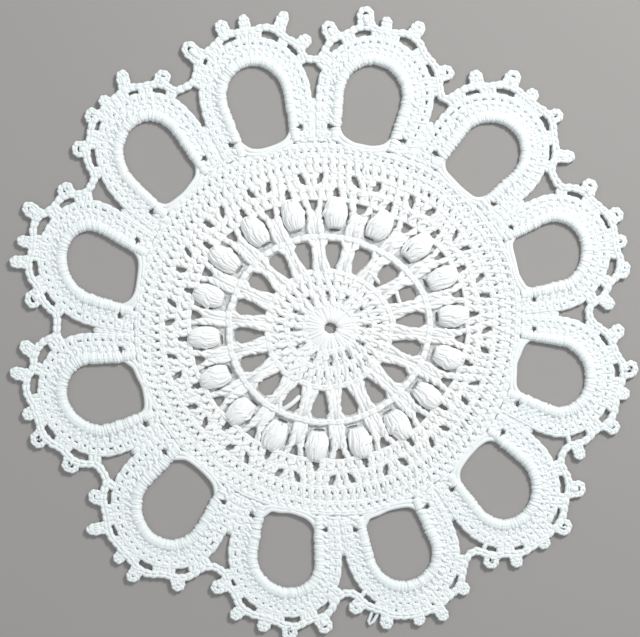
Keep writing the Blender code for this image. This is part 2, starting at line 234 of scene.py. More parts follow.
def petal_value(column, bearing):
    """A column of PETAL_LIE at any bearing. Bearings come as a shift."""
    values = np.array([row[PETAL_COLUMNS.index(column)] for row in PETAL_LIE], float)
    if column.endswith("bearing"):
        values = values - petal_bearings
    return beside(values, ((bearing - FIRST_PETAL) / PETAL_STEP) % PETALS)


def polar(bearing, radius):
    angle = np.radians(bearing)
    return radius * np.sin(angle), radius * np.cos(angle)


def lay(bearing, radius):
    """The place on the table, x and y, of points of the evenly worked doily."""
    bearing, radius = np.broadcast_arrays(np.asarray(bearing, float), np.asarray(radius, float))
    fans = eased(radius, *FANS_TAKE_OVER)
    wheel = eased(radius, *WHEEL_STARTS) * (1 - fans)
    turn = wheel * spoke_value("wheel_turn", bearing) + fans * spoke_value("fan_turn", bearing)
    rise = wheel * spoke_value("wheel_rise", bearing) + fans * spoke_value("fan_rise", bearing)
    even_x, even_y = polar(bearing + turn, radius + rise)
    stretch = STRETCH * (1 - (1 - STRETCH_KEPT) * eased(radius, *STRETCH_FADES))
    ring = 1 - eased(radius, 0.0, RING_SHIFT_ENDS)
    disc_x = even_x * (1 + stretch) + DISC_SHIFT[0] + RING_SHIFT[0] * ring
    disc_y = even_y * (1 - stretch) + DISC_SHIFT[1] + RING_SHIFT[1] * ring

    hole_tip = ARCH_MID + HOLE_HALF
    out = np.clip((radius - DISC) / (hole_tip - DISC), 0.0, 1.0)
    root_turn = petal_value("root_bearing", bearing)
    tip_turn = petal_value("tip_bearing", bearing)
    root_rise = petal_value("root", bearing) - DISC
    tip_rise = petal_value("tip", bearing) - hole_tip
    turned = bearing + root_turn + (tip_turn - root_turn) * out
    petal_x, petal_y = polar(turned, radius + root_rise + (tip_rise - root_rise) * out)

    petals = eased(radius, *PETALS_TAKE_OVER)
    x = disc_x + (petal_x - disc_x) * petals
    y = disc_y + (petal_y - disc_y) * petals
    return np.stack([x - MIDDLE[0], y - MIDDLE[1]], axis=-1)


def lay_across(bearing, across, outward):
    """The same for points told from a ray of that bearing: so far to its right, and so far out along it."""
    turn = np.degrees(np.arctan2(across, outward))
    return lay(bearing + turn, np.hypot(across, outward))


def on_arch(bearing, turn, distance):
    """Points so many degrees round the arch of the petal on that bearing, at a distance from its centre."""
    across, outward = polar(turn, distance)
    return lay_across(bearing, across, ARCH_MID + outward)


def raised(place, height):
    """Places on the table, with heights over it."""
    height = np.broadcast_to(height, place.shape[:-1])
    return np.concatenate([place, height[..., None]], axis=-1)


print("the ring's middle lies at", np.round(lay(0.0, 0.0), 2))

# %% [markdown]
# ## The thread
# The real thread is mercerised cotton, three plies twisted together, 1.3 mm thick where it is worked loosely.
# Each strand that shows is a curve through a few points with a round bevel, and all the strands of a round
# become one mesh. Copies of a stitch's mesh would be squeezed where the rounds are tight, while a curve keeps
# its thickness wherever it is bent. The curve's own UV map follows each strand, so the ply's twist can be
# drawn in the material.

# %% Spin strands into one mesh
THREAD = 1.3
TUCKED = 0.8  # a strand's ends are this much thinner, where they go under other strands
ONE_POINT = 1e-7  # points of a strand that are closer than this, in metres, are one
hands = np.random.default_rng(18)  # the unevenness of hand work, the same on every run


def choose_only(piece):
    bpy.ops.object.select_all(action="DESELECT")
    piece.select_set(True)
    bpy.context.view_layer.objects.active = piece


def add_object(name, data):
    """A new object of this data in the scene."""
    added = bpy.data.objects.new(name, data)
    bpy.context.scene.collection.objects.link(added)
    return added


def drawn_as_mesh(name, drawing, one_point):
    """A curve as a mesh, with the points that are closer than this made one."""
    drawn = add_object(name, drawing)
    choose_only(drawn)
    bpy.ops.object.convert(target="MESH")
    bpy.ops.object.mode_set(mode="EDIT")
    bpy.ops.mesh.select_all(action="SELECT")
    bpy.ops.mesh.remove_doubles(threshold=one_point)
    bpy.ops.object.mode_set(mode="OBJECT")
    return drawn


def in_millimetres(weave, paths):
    """Makes the UV map of a round's strands run in mm along them, and from 0 to 1 round them."""
    length = np.linalg.norm(np.diff(paths, axis=1), axis=2).sum(axis=1).mean()
    uv = np.zeros(len(weave.data) * 2, np.float32)
    weave.data.foreach_get("uv", uv)
    uv[0::2] *= length
    weave.data.foreach_set("uv", uv)


def spin(name, paths, thread=THREAD):
    """One mesh of strands. The paths all have the same number of points: (strands, points, 3)."""
    drawing = bpy.data.curves.new(name, "CURVE")
    drawing.dimensions = "3D"
    drawing.bevel_depth = thread / 2 * MM
    drawing.bevel_resolution = 1
    drawing.use_fill_caps = True
    count = paths.shape[1]
    thickness = np.ones(count)
    thickness[[0, -1]] = TUCKED
    for path in paths:
        spline = drawing.splines.new("POLY")
        spline.points.add(count - 1)
        spline.points.foreach_set("co", np.c_[path * MM, np.ones(count)].ravel())
        spline.points.foreach_set("radius", thickness)
    strands = drawn_as_mesh(name, drawing, ONE_POINT)
    bpy.ops.object.shade_smooth()
    weave = strands.data.uv_layers[0]
    weave.name = "thread"
    in_millimetres(weave, paths)
    return strands


def join(name, parts):
    """Several meshes as one piece."""
    choose_only(parts[0])
    for part in parts[1:]:
        part.select_set(True)
    if len(parts) > 1:
        bpy.ops.object.join()
    piece = bpy.context.object
    piece.name = name
    piece.data.name = name
    piece.data.calc_loop_triangles()
    print(f"{name}: {len(piece.data.loop_triangles)} triangles")
    return piece


# %% [markdown]
# ## The stitches
# Three shapes make nearly everything. A link is one chain stitch, and also the two loops that top every
# stitch. A tall stitch is two legs that twist once round each other over a third strand, with the slanting
# bar that the yarn-over leaves across them. A wrap is the loop with which a stitch holds the chain or ring it
# is worked round. A stitch could be modelled once and copied, but no two have the same width in a round that
# widens. So each is a short table of points in the stitch's own directions, and its round sets its size.

# %% The strands of each stitch
LINK = np.array([  # share of the stitch's pitch along, mm to its side, mm up or down
    (-0.12, 0.10, -0.45),
    (0.20, 0.36, 0.20),
    (0.58, 0.66, 0.36),
    (0.95, 0.76, 0.12),
    (1.22, 0.36, -0.34),
    (1.22, -0.36, -0.34),
    (0.95, -0.76, 0.12),
    (0.58, -0.66, 0.36),
    (0.20, -0.36, 0.20),
    (-0.12, -0.10, -0.45),
])
LEG_OVER = np.array([  # mm across, share of the way up, mm over the table, as in all the tables below
    (-0.34, -0.06, 1.05),
    (-0.70, 0.12, 1.28),
    (-0.50, 0.36, 1.48),
    (0.34, 0.60, 1.30),
    (0.54, 0.82, 1.05),
    (-0.22, 1.03, 0.95),
])
LEG_UNDER = np.array([
    (0.34, -0.06, 0.98),
    (0.70, 0.12, 1.16),
    (0.46, 0.36, 1.00),
    (-0.40, 0.60, 0.98),
    (-0.56, 0.82, 1.30),
    (0.22, 1.03, 1.05),
])
YARN_OVER = np.array([
    (-1.00, 0.36, 0.70),
    (-0.55, 0.41, 1.48),
    (0.22, 0.50, 1.60),
    (0.92, 0.61, 1.00),
])
INNER = np.array([  # the stitch's own core, which fills it from behind
    (0.0, -0.04, 0.88),
    (0.0, 0.50, 0.98),
    (0.0, 1.03, 0.88),
])
LEG = 1.6  # a strand pulled round others lies flat, so it looks thicker
BAR = 1.35
CORE = 1.7
TALL = ((LEG_OVER, LEG), (LEG_UNDER, LEG), (YARN_OVER, BAR), (INNER, CORE))
FILL = np.array([  # what shows low down between two stitches, from above their feet to where their tops part
    (0.0, 0.42, 0.75),
    (0.0, 0.58, 0.92),
    (0.0, 0.80, 0.80),
])
FILL_THREAD = 1.8
BETWEEN = ((FILL, FILL_THREAD),)
LEG_SPREAD = 0.70  # the widest that a leg lies from its stitch's middle
print("a tall stitch has", sum(6 * (len(strand) - 1) + 2 for strand, thick in TALL), "faces")

# %% [markdown]
# The tallest stitches, in the spokes and the Vs, have two yarn-overs more, so three bars slant across them
# and their legs cross twice. The plain stitch could be stretched to their height, but its bends would stretch
# with it, so they have their own table, and the other leg is the first one's mirror image with new heights.

# %% The strands of the tallest stitch
LONG_OVER = np.array([
    (-0.30, -0.04, 1.05),
    (-0.66, 0.10, 1.25),
    (-0.50, 0.28, 1.45),
    (0.44, 0.46, 1.22),
    (0.56, 0.62, 1.00),
    (-0.44, 0.82, 1.30),
    (-0.22, 1.02, 1.05),
])
UNDER_LIFT = (-0.1, -0.1, -0.42, -0.2, 0.34, -0.3, 0.1)  # how much higher the other leg runs, point by point
LONG_UNDER = LONG_OVER * (-1, 1, 1)
LONG_UNDER[:, 2] += UNDER_LIFT
BAR_START = 0.36  # where the bar starts in a stitch with only one
LONG_BAR = YARN_OVER - np.array([(0, BAR_START, 0)])
BARS_UP = (0.14, 0.36, 0.60)  # where its three bars start, as shares of the way up
LONG_BARS = tuple(LONG_BAR + np.array([(0, up, 0)]) for up in BARS_UP)
print("the tallest stitch has", len(LONG_BARS), "bars")

# %% [markdown]
# A strand through a few points looks kinked where it is large. A smooth curve type would round it, but with
# points wherever the curve puts them. A point added between each two, on a smooth curve through them, does
# as well and keeps the number of faces known. Small stitches stay as they are.

# %% Round the strands off
HEART_THREAD = 2.2


def rounded(strand):
    """The same strand with a point between each two, on a smooth curve through them."""
    ends = np.vstack([2 * strand[0] - strand[1], strand, 2 * strand[-1] - strand[-2]])
    between = (9 * (ends[1:-2] + ends[2:-1]) - ends[:-3] - ends[3:]) / 16  # a cubic through four points
    smooth = np.empty((2 * len(strand) - 1, 3))
    smooth[0::2] = strand
    smooth[1::2] = between
    return smooth


def finer(stitch):
    return tuple((rounded(strand), thick) for strand, thick in stitch)


ROUND_TALL = finer(TALL)  # for the rounds whose stitches are large enough to show their bends
LONG = finer(((LONG_OVER, LEG), (LONG_UNDER, LEG), *((bar, BAR) for bar in LONG_BARS), (INNER, CORE)))
HEART = ((INNER, HEART_THREAD),)  # fills the cloth between two long stitches that stand close
print("the tallest stitch has", len(LONG), "strands")

# %% [markdown]
# A round is a stitch set on many rays from the middle. Where two stitches make a pair they stand beside the
# ray, one on each side. How far away, and how wide each is, changes on the way out, so a round is told by two
# short tables of (radius, mm). Hand work is never even: each stitch is moved, widened and bent by a little,
# all from the one seeded generator.

# %% Set stitches on the rays of a round
UNEVEN = {"out": 0.14, "wide": 0.10, "aside": 0.13, "bent": 0.07, "up": 0.10}  # mm, and wide a share
ALONE = (0,)
BESIDE = (-1, 1)
ON_RAY = ((0.0, 0.0),)


def uneven(shape, amount):
    """Small random shifts, as hand work has."""
    return hands.normal(0.0, amount, shape)


def in_rows(values):
    return np.asarray(values, float).reshape(-1, 1)


def from_table(table, radius):
    """A value read off a table of (radius, value) rows."""
    return np.interp(radius, *np.transpose(table))


def set_beside(shape, middles, side, reach, away, wide):
    """Strand paths of one shape in stitches beside rays: so far away to their side, and so wide, in mm."""
    across, up, height = shape.T
    inner, outer = reach
    stitches = len(middles)
    radius = inner + (outer - inner) * up[None, :] + uneven((stitches, 1), UNEVEN["out"])
    widened = 1 + uneven((stitches, 1), UNEVEN["wide"])
    spread = (from_table(wide, radius) - LEG) / (2 * LEG_SPREAD) * widened
    lean = side * from_table(away, radius) + across[None, :] * spread
    lean = lean + uneven((stitches, 1), UNEVEN["aside"]) + uneven((stitches, len(up)), UNEVEN["bent"])
    bearing = in_rows(middles) + np.degrees(lean / radius)
    return raised(lay(bearing, radius), height[None, :] + uneven((stitches, 1), UNEVEN["up"]))


def stand(name, stitch, middles, reach, sides=ALONE, away=ON_RAY, wide=ON_RAY):
    """Meshes of one stitch on or beside all these rays, a mesh for each of its strands."""
    meshes = []
    for strand, thick in stitch:
        paths = [set_beside(strand, middles, side, reach, away, wide) for side in sides]
        meshes.append(spin(name, np.concatenate(paths), thick))
    return meshes


print("a stitch is moved by about", UNEVEN["out"], "mm")

# %% [markdown]
# A chain could be an array of one link along a curve, but links on a bend would then overlap inside it and
# gape outside. Here each link starts where the one before it ends, and its width is square to its own way.

# %% Run chains from place to place
TOPS = 0.90  # height of the loops that top a round, which the next round's feet lie over
TOP_SIDE = 0.58  # their width, as a share of a loose link's
TOP_THREAD = 1.75
LINK_UNEVEN = 0.05  # how uneven a link is: its width as a share, and each of its points in mm
RING_UNEVEN = {"out": 0.14, "up": 0.06}


def links_through(points, closed=False, side=1.0):
    """Strand paths of a chain whose stitches start at these places, one after another."""
    along = np.roll(points, -1, axis=0) - points
    if not closed:
        points, along = points[:-1], along[:-1]
    flat = along.copy()
    flat[:, 2] = 0.0
    flat /= np.linalg.norm(flat, axis=1)[:, None]
    across = np.stack([-flat[:, 1], flat[:, 0], np.zeros(len(flat))], axis=1)
    up = np.array([0.0, 0.0, 1.0])
    links = len(points)
    share, half, height = LINK.T
    wide = half[None, :, None] * side * (1 + uneven((links, 1, 1), LINK_UNEVEN))
    path = points[:, None, :] + along[:, None, :] * share[None, :, None]
    path = path + across[:, None, :] * wide + up * height[None, :, None]
    return path + uneven((links, 1, 3), LINK_UNEVEN)


def ring_of(bearings, radius, height=TOPS):
    """Places for a chain that runs round the disc, a little uneven."""
    count = len(bearings)
    out = uneven(count, RING_UNEVEN["out"])
    return raised(lay(bearings, radius + out), height + uneven(count, RING_UNEVEN["up"]))


def closed_chain(name, places, side=TOP_SIDE, thread=TOP_THREAD):
    """A mesh of the chain that runs through these places and back to the first."""
    return spin(name, links_through(places, closed=True, side=side), thread)


def spaced(count, first=0.0):
    return first + 360 / count * np.arange(count)


print("a link is", round(np.ptp(LINK[:, 0]), 2), "times its pitch long")

# %% [markdown]
# ## The starting ring and the three close rounds
# Twelve stitches are worked into a small ring, and the next two rounds widen to 24 and 36. The first round's
# loops crowd together at the ring, so they read as one smooth band of thread. The second round is worked in
# pairs, and a pinhole shows wherever two pairs part. A disc with a bump would give no pinholes and a smooth
# outline from the side, so each round is stood up from its stitches, and its loops are run over their heads.

# %% Work the close rounds
RING_LEG = np.array([
    (0.0, 0.04, 0.60),
    (0.0, 0.02, 1.10),
    (0.0, 0.12, 1.45),
    (0.0, 0.40, 1.40),
    (0.0, 0.72, 1.25),
    (0.0, 1.03, 0.95),
])
RING_THREAD = 1.85
FIRST_ROUND = (2.8, 9.4)  # from the stitches' feet to their heads, out from the middle
SECOND_ROUND = (9.2, 15.9)
THIRD_ROUND = (16.0, 22.9)
PAIR_AWAY = ((9.2, 1.05), (13.7, 1.60), (15.9, 1.95))
PAIR_WIDE = ((9.2, 2.3), (13.7, 3.2), (15.9, 3.6))
THIRD_WIDE = ((16.0, 2.8), (22.9, 3.8))
first_legs = spaced(36, first=2.0)  # three strands to each of the twelve stitches
first_loops = spaced(18, first=2.0)
pairs = spaced(12, first=12.5)
third_round = spaced(36, first=FIRST_GAP + 5)
third_gaps = third_round + 5
close = stand("ring_legs", finer(((RING_LEG, RING_THREAD),)), first_legs, FIRST_ROUND)
close += stand("second", ROUND_TALL, pairs, SECOND_ROUND, BESIDE, PAIR_AWAY, PAIR_WIDE)
close += stand("third", ROUND_TALL, third_round, THIRD_ROUND, wide=THIRD_WIDE)
close += stand("between", BETWEEN, pairs, SECOND_ROUND)
close += stand("between", BETWEEN, third_gaps, THIRD_ROUND)
close.append(closed_chain("first_tops", ring_of(first_loops, FIRST_ROUND[1], height=0.95)))
close.append(closed_chain("second_tops", ring_of(third_round, SECOND_ROUND[1])))
close.append(closed_chain("third_tops", ring_of(third_gaps, radius=22.7)))
close_rounds = join("close_rounds", close)

# %% [markdown]
# ## The wheel of spokes
# Eighteen pairs of taller stitches stand out from the close rounds like spokes. A pair is broad at its feet,
# narrow at its waist and broad again where the chain round the wheel holds its tops, which gives the gaps
# between the spokes their drop shape. The gaps could be cut from a ring, but here the shape comes from the
# stitches, as on the real thing: one table holds half a pair's width, and both its stitches follow it.

# %% Work the spokes and the wheel's chain
PAIR_HALF = ((23.2, 3.55), (24.1, 3.35), (26.8, 3.00), (29.8, 2.55), (32.6, 2.75), (34.6, 4.20), (36.4, 5.20))
STITCH_MIDDLE = 0.51  # where in that half its stitch stands, and how much of it the stitch fills
STITCH_FILLS = 0.94
SPOKE_ROUND = (23.0, 36.2)
SPOKE_HEART = (23.4, 36.2)
WHEEL_LINKS = 72
spoke_away = [(radius, STITCH_MIDDLE * half) for radius, half in PAIR_HALF]
spoke_wide = [(radius, STITCH_FILLS * half) for radius, half in PAIR_HALF]
wheel = stand("spokes", LONG, post_bearings, SPOKE_ROUND, BESIDE, spoke_away, spoke_wide)
wheel += stand("heart", HEART, post_bearings, SPOKE_HEART)
wheel_places = ring_of(spaced(WHEEL_LINKS, FIRST_GAP), radius=36.3, height=1.0)
wheel.append(closed_chain("wheel_chain", wheel_places, side=0.62, thread=1.9))
spokes = join("spokes", wheel)

# %% [markdown]
# ## The popcorns
# A popcorn is five tall stitches worked into one place and drawn together at the top, so they stand up as a
# bud. A ball with five grooves would be smooth where the real one is all thread. So the same tall stitch is
# set five times over a bud's surface, and a smooth body fills it from inside.

# %% The surface of a bud
BUD_LOW = 0.95  # height of its rim, where the surface starts
BUD_HALF = POPCORN_WIDE / 2 - 0.45  # from its middle to its ridges' middle lines
BUD_LONG = POPCORN_LONG - 0.5
BUD_TALL = 2.45
BUD_RUN = (-66, 62)  # from its foot to its head, in degrees over a half circle, which leaves both ends blunt
BUD_ROUND = 0.62  # the lower, the squarer its run
BUD_FOOT_FULL = 1.04  # how full it is at its foot
BUD_TAPER = 0.16  # and how much less at its head


def on_bud(bearing, slant, up, off):
    """Points on a bud: degrees round it from its ridge, a share of the way up it, and mm off its surface."""
    run = np.radians(BUD_RUN[0] + (BUD_RUN[1] - BUD_RUN[0]) * up)
    full = np.cos(run) ** BUD_ROUND * (BUD_FOOT_FULL - BUD_TAPER * up)
    slant = np.radians(slant)
    across = (BUD_HALF * full + off) * np.sin(slant)
    outward = POPCORN_MID + BUD_LONG * (up - 0.5)
    height = BUD_LOW + (BUD_TALL * full + off) * np.cos(slant)
    return raised(lay(bearing + np.degrees(across / outward), outward), height)


print("a popcorn stands", round(BUD_LOW + BUD_TALL, 1), "mm high to the middle of its threads")

# %% [markdown]
# The tables of the tall stitch are read once more here. Its width becomes degrees round the bud, and its
# height becomes a distance off the bud's surface.

# %% Raise the popcorns
BUD_THREAD = 1.3
RIDGES = (-66, -34, 0, 34, 66)  # degrees round the bud
RIDGE_HALF = 11.0  # degrees round the bud from a ridge's middle to its legs
RIDGE_DEPTH = 0.40  # the stitch's own heights count this much, from the height that lies on the surface
ON_SURFACE = 1.0
BUD_UNEVEN = {"turned": 0.35, "slanted": 2.5, "off": 0.03}  # degrees, degrees and mm
BODY_HALF = BUD_HALF - 0.10
BODY_LONG = POPCORN_LONG / 2 - 0.3
BODY_TALL = 1.85
BODY_HEIGHT = 2.0  # of its middle


def bud_strands(shape):
    """Strand paths of one shape in the five stitches of every popcorn."""
    across, up, height = shape.T
    turns = np.repeat(gap_bearings + uneven(SPOKES, BUD_UNEVEN["turned"]), len(RIDGES))
    slants = np.tile(RIDGES, SPOKES) + uneven(len(turns), BUD_UNEVEN["slanted"])
    around = in_rows(slants) + across[None, :] / LEG_SPREAD * RIDGE_HALF
    off = RIDGE_DEPTH * (height[None, :] - ON_SURFACE) + uneven((len(turns), len(up)), BUD_UNEVEN["off"])
    return on_bud(in_rows(turns), around, up[None, :] + np.zeros_like(around), off)


buds = [spin("ridge", bud_strands(strand), BUD_THREAD) for strand, thick in ROUND_TALL[:3]]
for bearing in gap_bearings:
    bpy.ops.object.select_all(action="DESELECT")
    x, y = lay(bearing, POPCORN_MID)
    bpy.ops.mesh.primitive_uv_sphere_add(segments=20, ring_count=12, radius=1.0)
    body = bpy.context.object
    body.scale = (BODY_HALF * MM, BODY_LONG * MM, BODY_TALL * MM)
    body.rotation_euler.z = -math.radians(bearing)
    body.location = (x * MM, y * MM, BODY_HEIGHT * MM)
    bpy.ops.object.transform_apply(location=True, rotation=True, scale=True)
    bpy.ops.object.shade_smooth()
    body.data.uv_layers[0].name = "thread"
    buds.append(body)
popcorns = join("popcorns", buds)

# %% [markdown]
# ## The V stitches
# Between two popcorns stands a V: two tall stitches from one place that lean apart. A chain runs over them
# and over the heads of the popcorns, where it rises and draws in. The lean needs no shape of its own: the
# stitches of a pair stand further from their ray the further out they reach.

# %% Work the V stitches and the chain over the popcorns
VEE_ROUND = (37.4, 50.4)
VEE_HEART = (37.4, 45.6)
VEE_AWAY = ((37.6, 1.60), (39.4, 1.75), (41.5, 1.65), (44.8, 1.60), (46.6, 1.80), (48.4, 2.65), (50.4, 3.10))
VEE_WIDE = ((37.6, 3.10), (39.4, 3.00), (42.0, 3.20), (46.0, 3.20), (48.4, 2.80), (50.4, 2.70))


def waved(links, radius, wave, height=TOPS, lift=0.0):
    """Places for a chain that swings out at the posts and in at the popcorns, where it also lies higher."""
    bearings = spaced(links, FIRST_GAP)
    swing = np.cos(np.radians(SPOKES * (bearings - FIRST_GAP)))
    return ring_of(bearings, radius - wave * swing, height + lift * (1 + swing) / 2)


vees = stand("vee", LONG, post_bearings, VEE_ROUND, BESIDE, VEE_AWAY, VEE_WIDE)
vees += stand("heart", HEART, post_bearings, VEE_HEART)
over_popcorns = waved(links=90, radius=50.6, wave=0.35, height=0.85, lift=0.5)
vees.append(closed_chain("over_popcorns", over_popcorns, side=0.5, thread=1.45))
vee_stitches = join("vee_stitches", vees)

# %% [markdown]
# ## The fan round and the eyelet round
# Beyond each popcorn two stitches lean together over a small gap, with one more on either side, and one
# stands on each post. In the next round two stitches fan out over each post, and an eyelet stays open on
# either side of them. These rounds differ only in where their stitches stand, so each row of stitches is one
# call with its own (radius, mm) tables, and the stitches between them are filled from below.

# %% Work the fans and the eyelets
FAN_ROUND = (51.1, 56.0)
EYELET_ROUND = (55.8, 60.4)
INNER_STITCHES = 126  # in the next round, the first close band
over_gap = {"away": ((50.9, 2.65), (54.8, 1.85), (56.2, 1.60)), "wide": ((50.9, 2.8), (56.2, 3.3))}
beside_gap = {"away": ((50.9, 5.60), (56.2, 5.65)), "wide": ((50.9, 3.1), (56.2, 3.9))}
on_post = {"wide": ((50.9, 3.2), (56.2, 4.1))}
over_post = {
    "away": ((55.6, 1.05), (57.4, 1.30), (59.5, 1.95)),
    "wide": ((55.6, 2.1), (57.4, 2.5), (59.5, 3.6)),
}
mid_eyelets = {"away": ((55.6, 1.50), (59.5, 1.40)), "wide": ((55.6, 3.0), (59.5, 2.8))}
by_eyelets = {
    "away": ((55.6, 4.60), (57.4, 4.30), (59.5, 4.20)),
    "wide": ((55.6, 3.0), (57.4, 2.7), (59.5, 2.8)),
}
fans = stand("fan", ROUND_TALL, gap_bearings, FAN_ROUND, BESIDE, **over_gap)
fans += stand("fan", ROUND_TALL, gap_bearings, FAN_ROUND, BESIDE, **beside_gap)
fans += stand("fan", ROUND_TALL, post_bearings, FAN_ROUND, **on_post)
fans += stand("eyelet", ROUND_TALL, post_bearings, EYELET_ROUND, BESIDE, **over_post)
fans += stand("eyelet", ROUND_TALL, gap_bearings, EYELET_ROUND, BESIDE, **mid_eyelets)
fans += stand("eyelet", ROUND_TALL, gap_bearings, EYELET_ROUND, BESIDE, **by_eyelets)
fans += stand("between", BETWEEN, gap_bearings, FAN_ROUND, BESIDE, away=((50.9, 4.05), (56.2, 3.65)))
fans += stand("between", BETWEEN, gap_bearings, FAN_ROUND, BESIDE, away=((50.9, 7.3), (56.2, 7.7)))
fans += stand("between", BETWEEN, post_bearings, EYELET_ROUND)
fans += stand("between", BETWEEN, gap_bearings, EYELET_ROUND)
fans += stand("between", BETWEEN, gap_bearings, EYELET_ROUND, BESIDE, away=((55.6, 3.0), (59.5, 2.8)))
fans.append(closed_chain("fan_tops", waved(links=108, radius=55.3, wave=-0.55), side=0.5, thread=1.6))
fans.append(closed_chain("eyelet_tops", ring_of(spaced(INNER_STITCHES, FIRST_GAP), radius=60.8)))
fan_rounds = join("fan_rounds", fans)

# %% [markdown]
# ## The close bands at the disc's edge
# Two rounds without gaps hold the wheel together, so that the petals can pull on it. There are 126 stitches
# in the inner band and 144 in the outer one, twelve to a petal. They could have the rounder strands of the
# fans, but they are small, so the plain ones do and the piece stays light.

# %% Work the close bands
INNER_ROUND = (61.0, 66.0)
OUTER_ROUND = (66.2, 70.0)
OUTER_STITCHES = 12 * PETALS
INNER_WIDE = ((61.0, 2.95), (66.0, 3.2))
OUTER_WIDE = ((66.2, 2.75), (70.4, 2.95))
inner_band = spaced(INNER_STITCHES, first=FIRST_GAP + 1)
outer_band = spaced(OUTER_STITCHES, first=FIRST_PETAL - PETAL_STEP / 2 + 180 / OUTER_STITCHES)
inner_gaps = inner_band + 180 / len(inner_band)
outer_gaps = outer_band + 180 / len(outer_band)
bands = stand("inner", TALL, inner_band, INNER_ROUND, wide=INNER_WIDE)
bands += stand("outer", TALL, outer_band, OUTER_ROUND, wide=OUTER_WIDE)
bands += stand("between", BETWEEN, inner_gaps, INNER_ROUND)
bands += stand("between", BETWEEN, outer_gaps, OUTER_ROUND)
bands.append(closed_chain("inner_tops", ring_of(outer_band, radius=66.1)))
bands.append(closed_chain("outer_tops", ring_of(outer_band, radius=69.8, height=1.0), side=0.7))
close_bands = join("close_bands", bands)

# %% [markdown]
# ## The petals
# A petal is an arch of tall stitches worked round a chain. Some climb each side and the rest fan round its
# crown, where they crowd at the opening and spread at the rim. At each foot two of them part round a slot.
# One petal could be made and copied, but all twelve lie differently. So a function says where a place on the
# arch comes to lie, counted in stitches round it and in mm out from the opening, and it sets every stitch.

# %% Places round a petal's arch
LEG_ROOM = 6  # stitches that climb one side
CROWN_ROOM = 20  # stitches that fan round the crown
ARCH_ROOM = 2 * LEG_ROOM + CROWN_ROOM
FOOT_SQUEEZE = 0.86  # the band's width at the foot, as a share of its full width, where two petals meet
LEG_STEP = 0.92  # how far in a side's second stitch stands, to leave room for its corner
leg_places = np.concatenate([[0.0], LEG_STEP + np.arange(LEG_ROOM)])
crown_places = np.linspace(LEG_ROOM + LEG_STEP, LEG_ROOM + CROWN_ROOM - LEG_STEP, CROWN_ROOM - 1)
arch_places = np.concatenate([leg_places, crown_places, ARCH_ROOM - leg_places[::-1]])


def on_petal(bearing, place, out, along=0.0):
    """Points so far out from a petal's opening, so many stitches round its arch, and moved along it."""
    bearing, place, out, along = np.broadcast_arrays(bearing, place, out, along)
    side = np.where(place < ARCH_ROOM / 2, -1.0, 1.0)
    climbed = np.clip(np.minimum(place, ARCH_ROOM - place) / LEG_ROOM, None, 1.0)
    turn = -90 + 180 * np.clip((place - LEG_ROOM) / CROWN_ROOM, 0.0, 1.0)
    lean = math.atan2(HOLE_HALF - HOLE_FOOT, ARCH_MID - DISC)
    on_leg = climbed < 1.0
    normal_x = np.where(on_leg, side * math.cos(lean), np.sin(np.radians(turn)))
    normal_y = np.where(on_leg, -math.sin(lean), np.cos(np.radians(turn)))
    across = np.where(on_leg, side * (HOLE_FOOT + (HOLE_HALF - HOLE_FOOT) * climbed), HOLE_HALF * normal_x)
    outward = np.where(on_leg, DISC + (ARCH_MID - DISC) * climbed, ARCH_MID + HOLE_HALF * normal_y)
    room = FOOT_SQUEEZE + (1 - FOOT_SQUEEZE) * np.clip((outward - DISC) / (NOTCH_START - DISC), 0.0, 1.0)
    across = across + normal_x * out * room + normal_y * along
    outward = outward + normal_y * out * room - normal_x * along
    return lay_across(bearing, across, outward)


print("stitches round a petal:", len(arch_places))

# %% [markdown]
# A stitch has the room that the arch gives it: even steps up the sides, and wider ones round the crown the
# further out it lies. The two stitches beside a foot's slot step aside, most where the slot is widest.

# %% The room along the arch
LEG_PITCH = (ARCH_MID - DISC) / LEG_ROOM
CROWN_STARTS = 0.8  # stitches before and after the crown's start over which the room changes
SLOT_PLACE = 1.42  # where the slot lies, in stitches from the foot
SLOT_OUT = 4.6  # how far out from the opening its middle is
SLOT_HALF = 2.3
SLOT_PART = 0.8  # how far its two stitches step aside, in mm
SLOT_REACH = 1.6  # stitches away from the slot at which nothing steps aside any more
PETAL_UNEVEN = {"out": 0.12, "wide": 0.10, "aside": 0.12, "bent": 0.06, "up": 0.08}  # mm, and wide a share
THINNEST = 0.1  # room for a stitch's legs where hardly any is left, in mm


def pitch_at(place, out):
    """The room that a stitch has along the arch, in mm."""
    from_foot = np.minimum(place, ARCH_ROOM - place)
    crown = math.pi * (HOLE_HALF + out) / CROWN_ROOM
    on_crown = eased(from_foot, LEG_ROOM - CROWN_STARTS, LEG_ROOM + CROWN_STARTS)
    return LEG_PITCH + (crown - LEG_PITCH) * on_crown


def slot_shift(place, out):
    """How far the two stitches beside a foot's slot step along the arch to leave it open."""
    from_foot = np.minimum(place, ARCH_ROOM - place)
    away = np.where(from_foot > SLOT_PLACE, 1.0, -1.0) * np.where(place < ARCH_ROOM / 2, 1.0, -1.0)
    near = np.clip(SLOT_REACH - np.abs(from_foot - SLOT_PLACE), 0.0, 1.0)
    return SLOT_PART * away * near * np.exp(-((out - SLOT_OUT) / SLOT_HALF) ** 2)


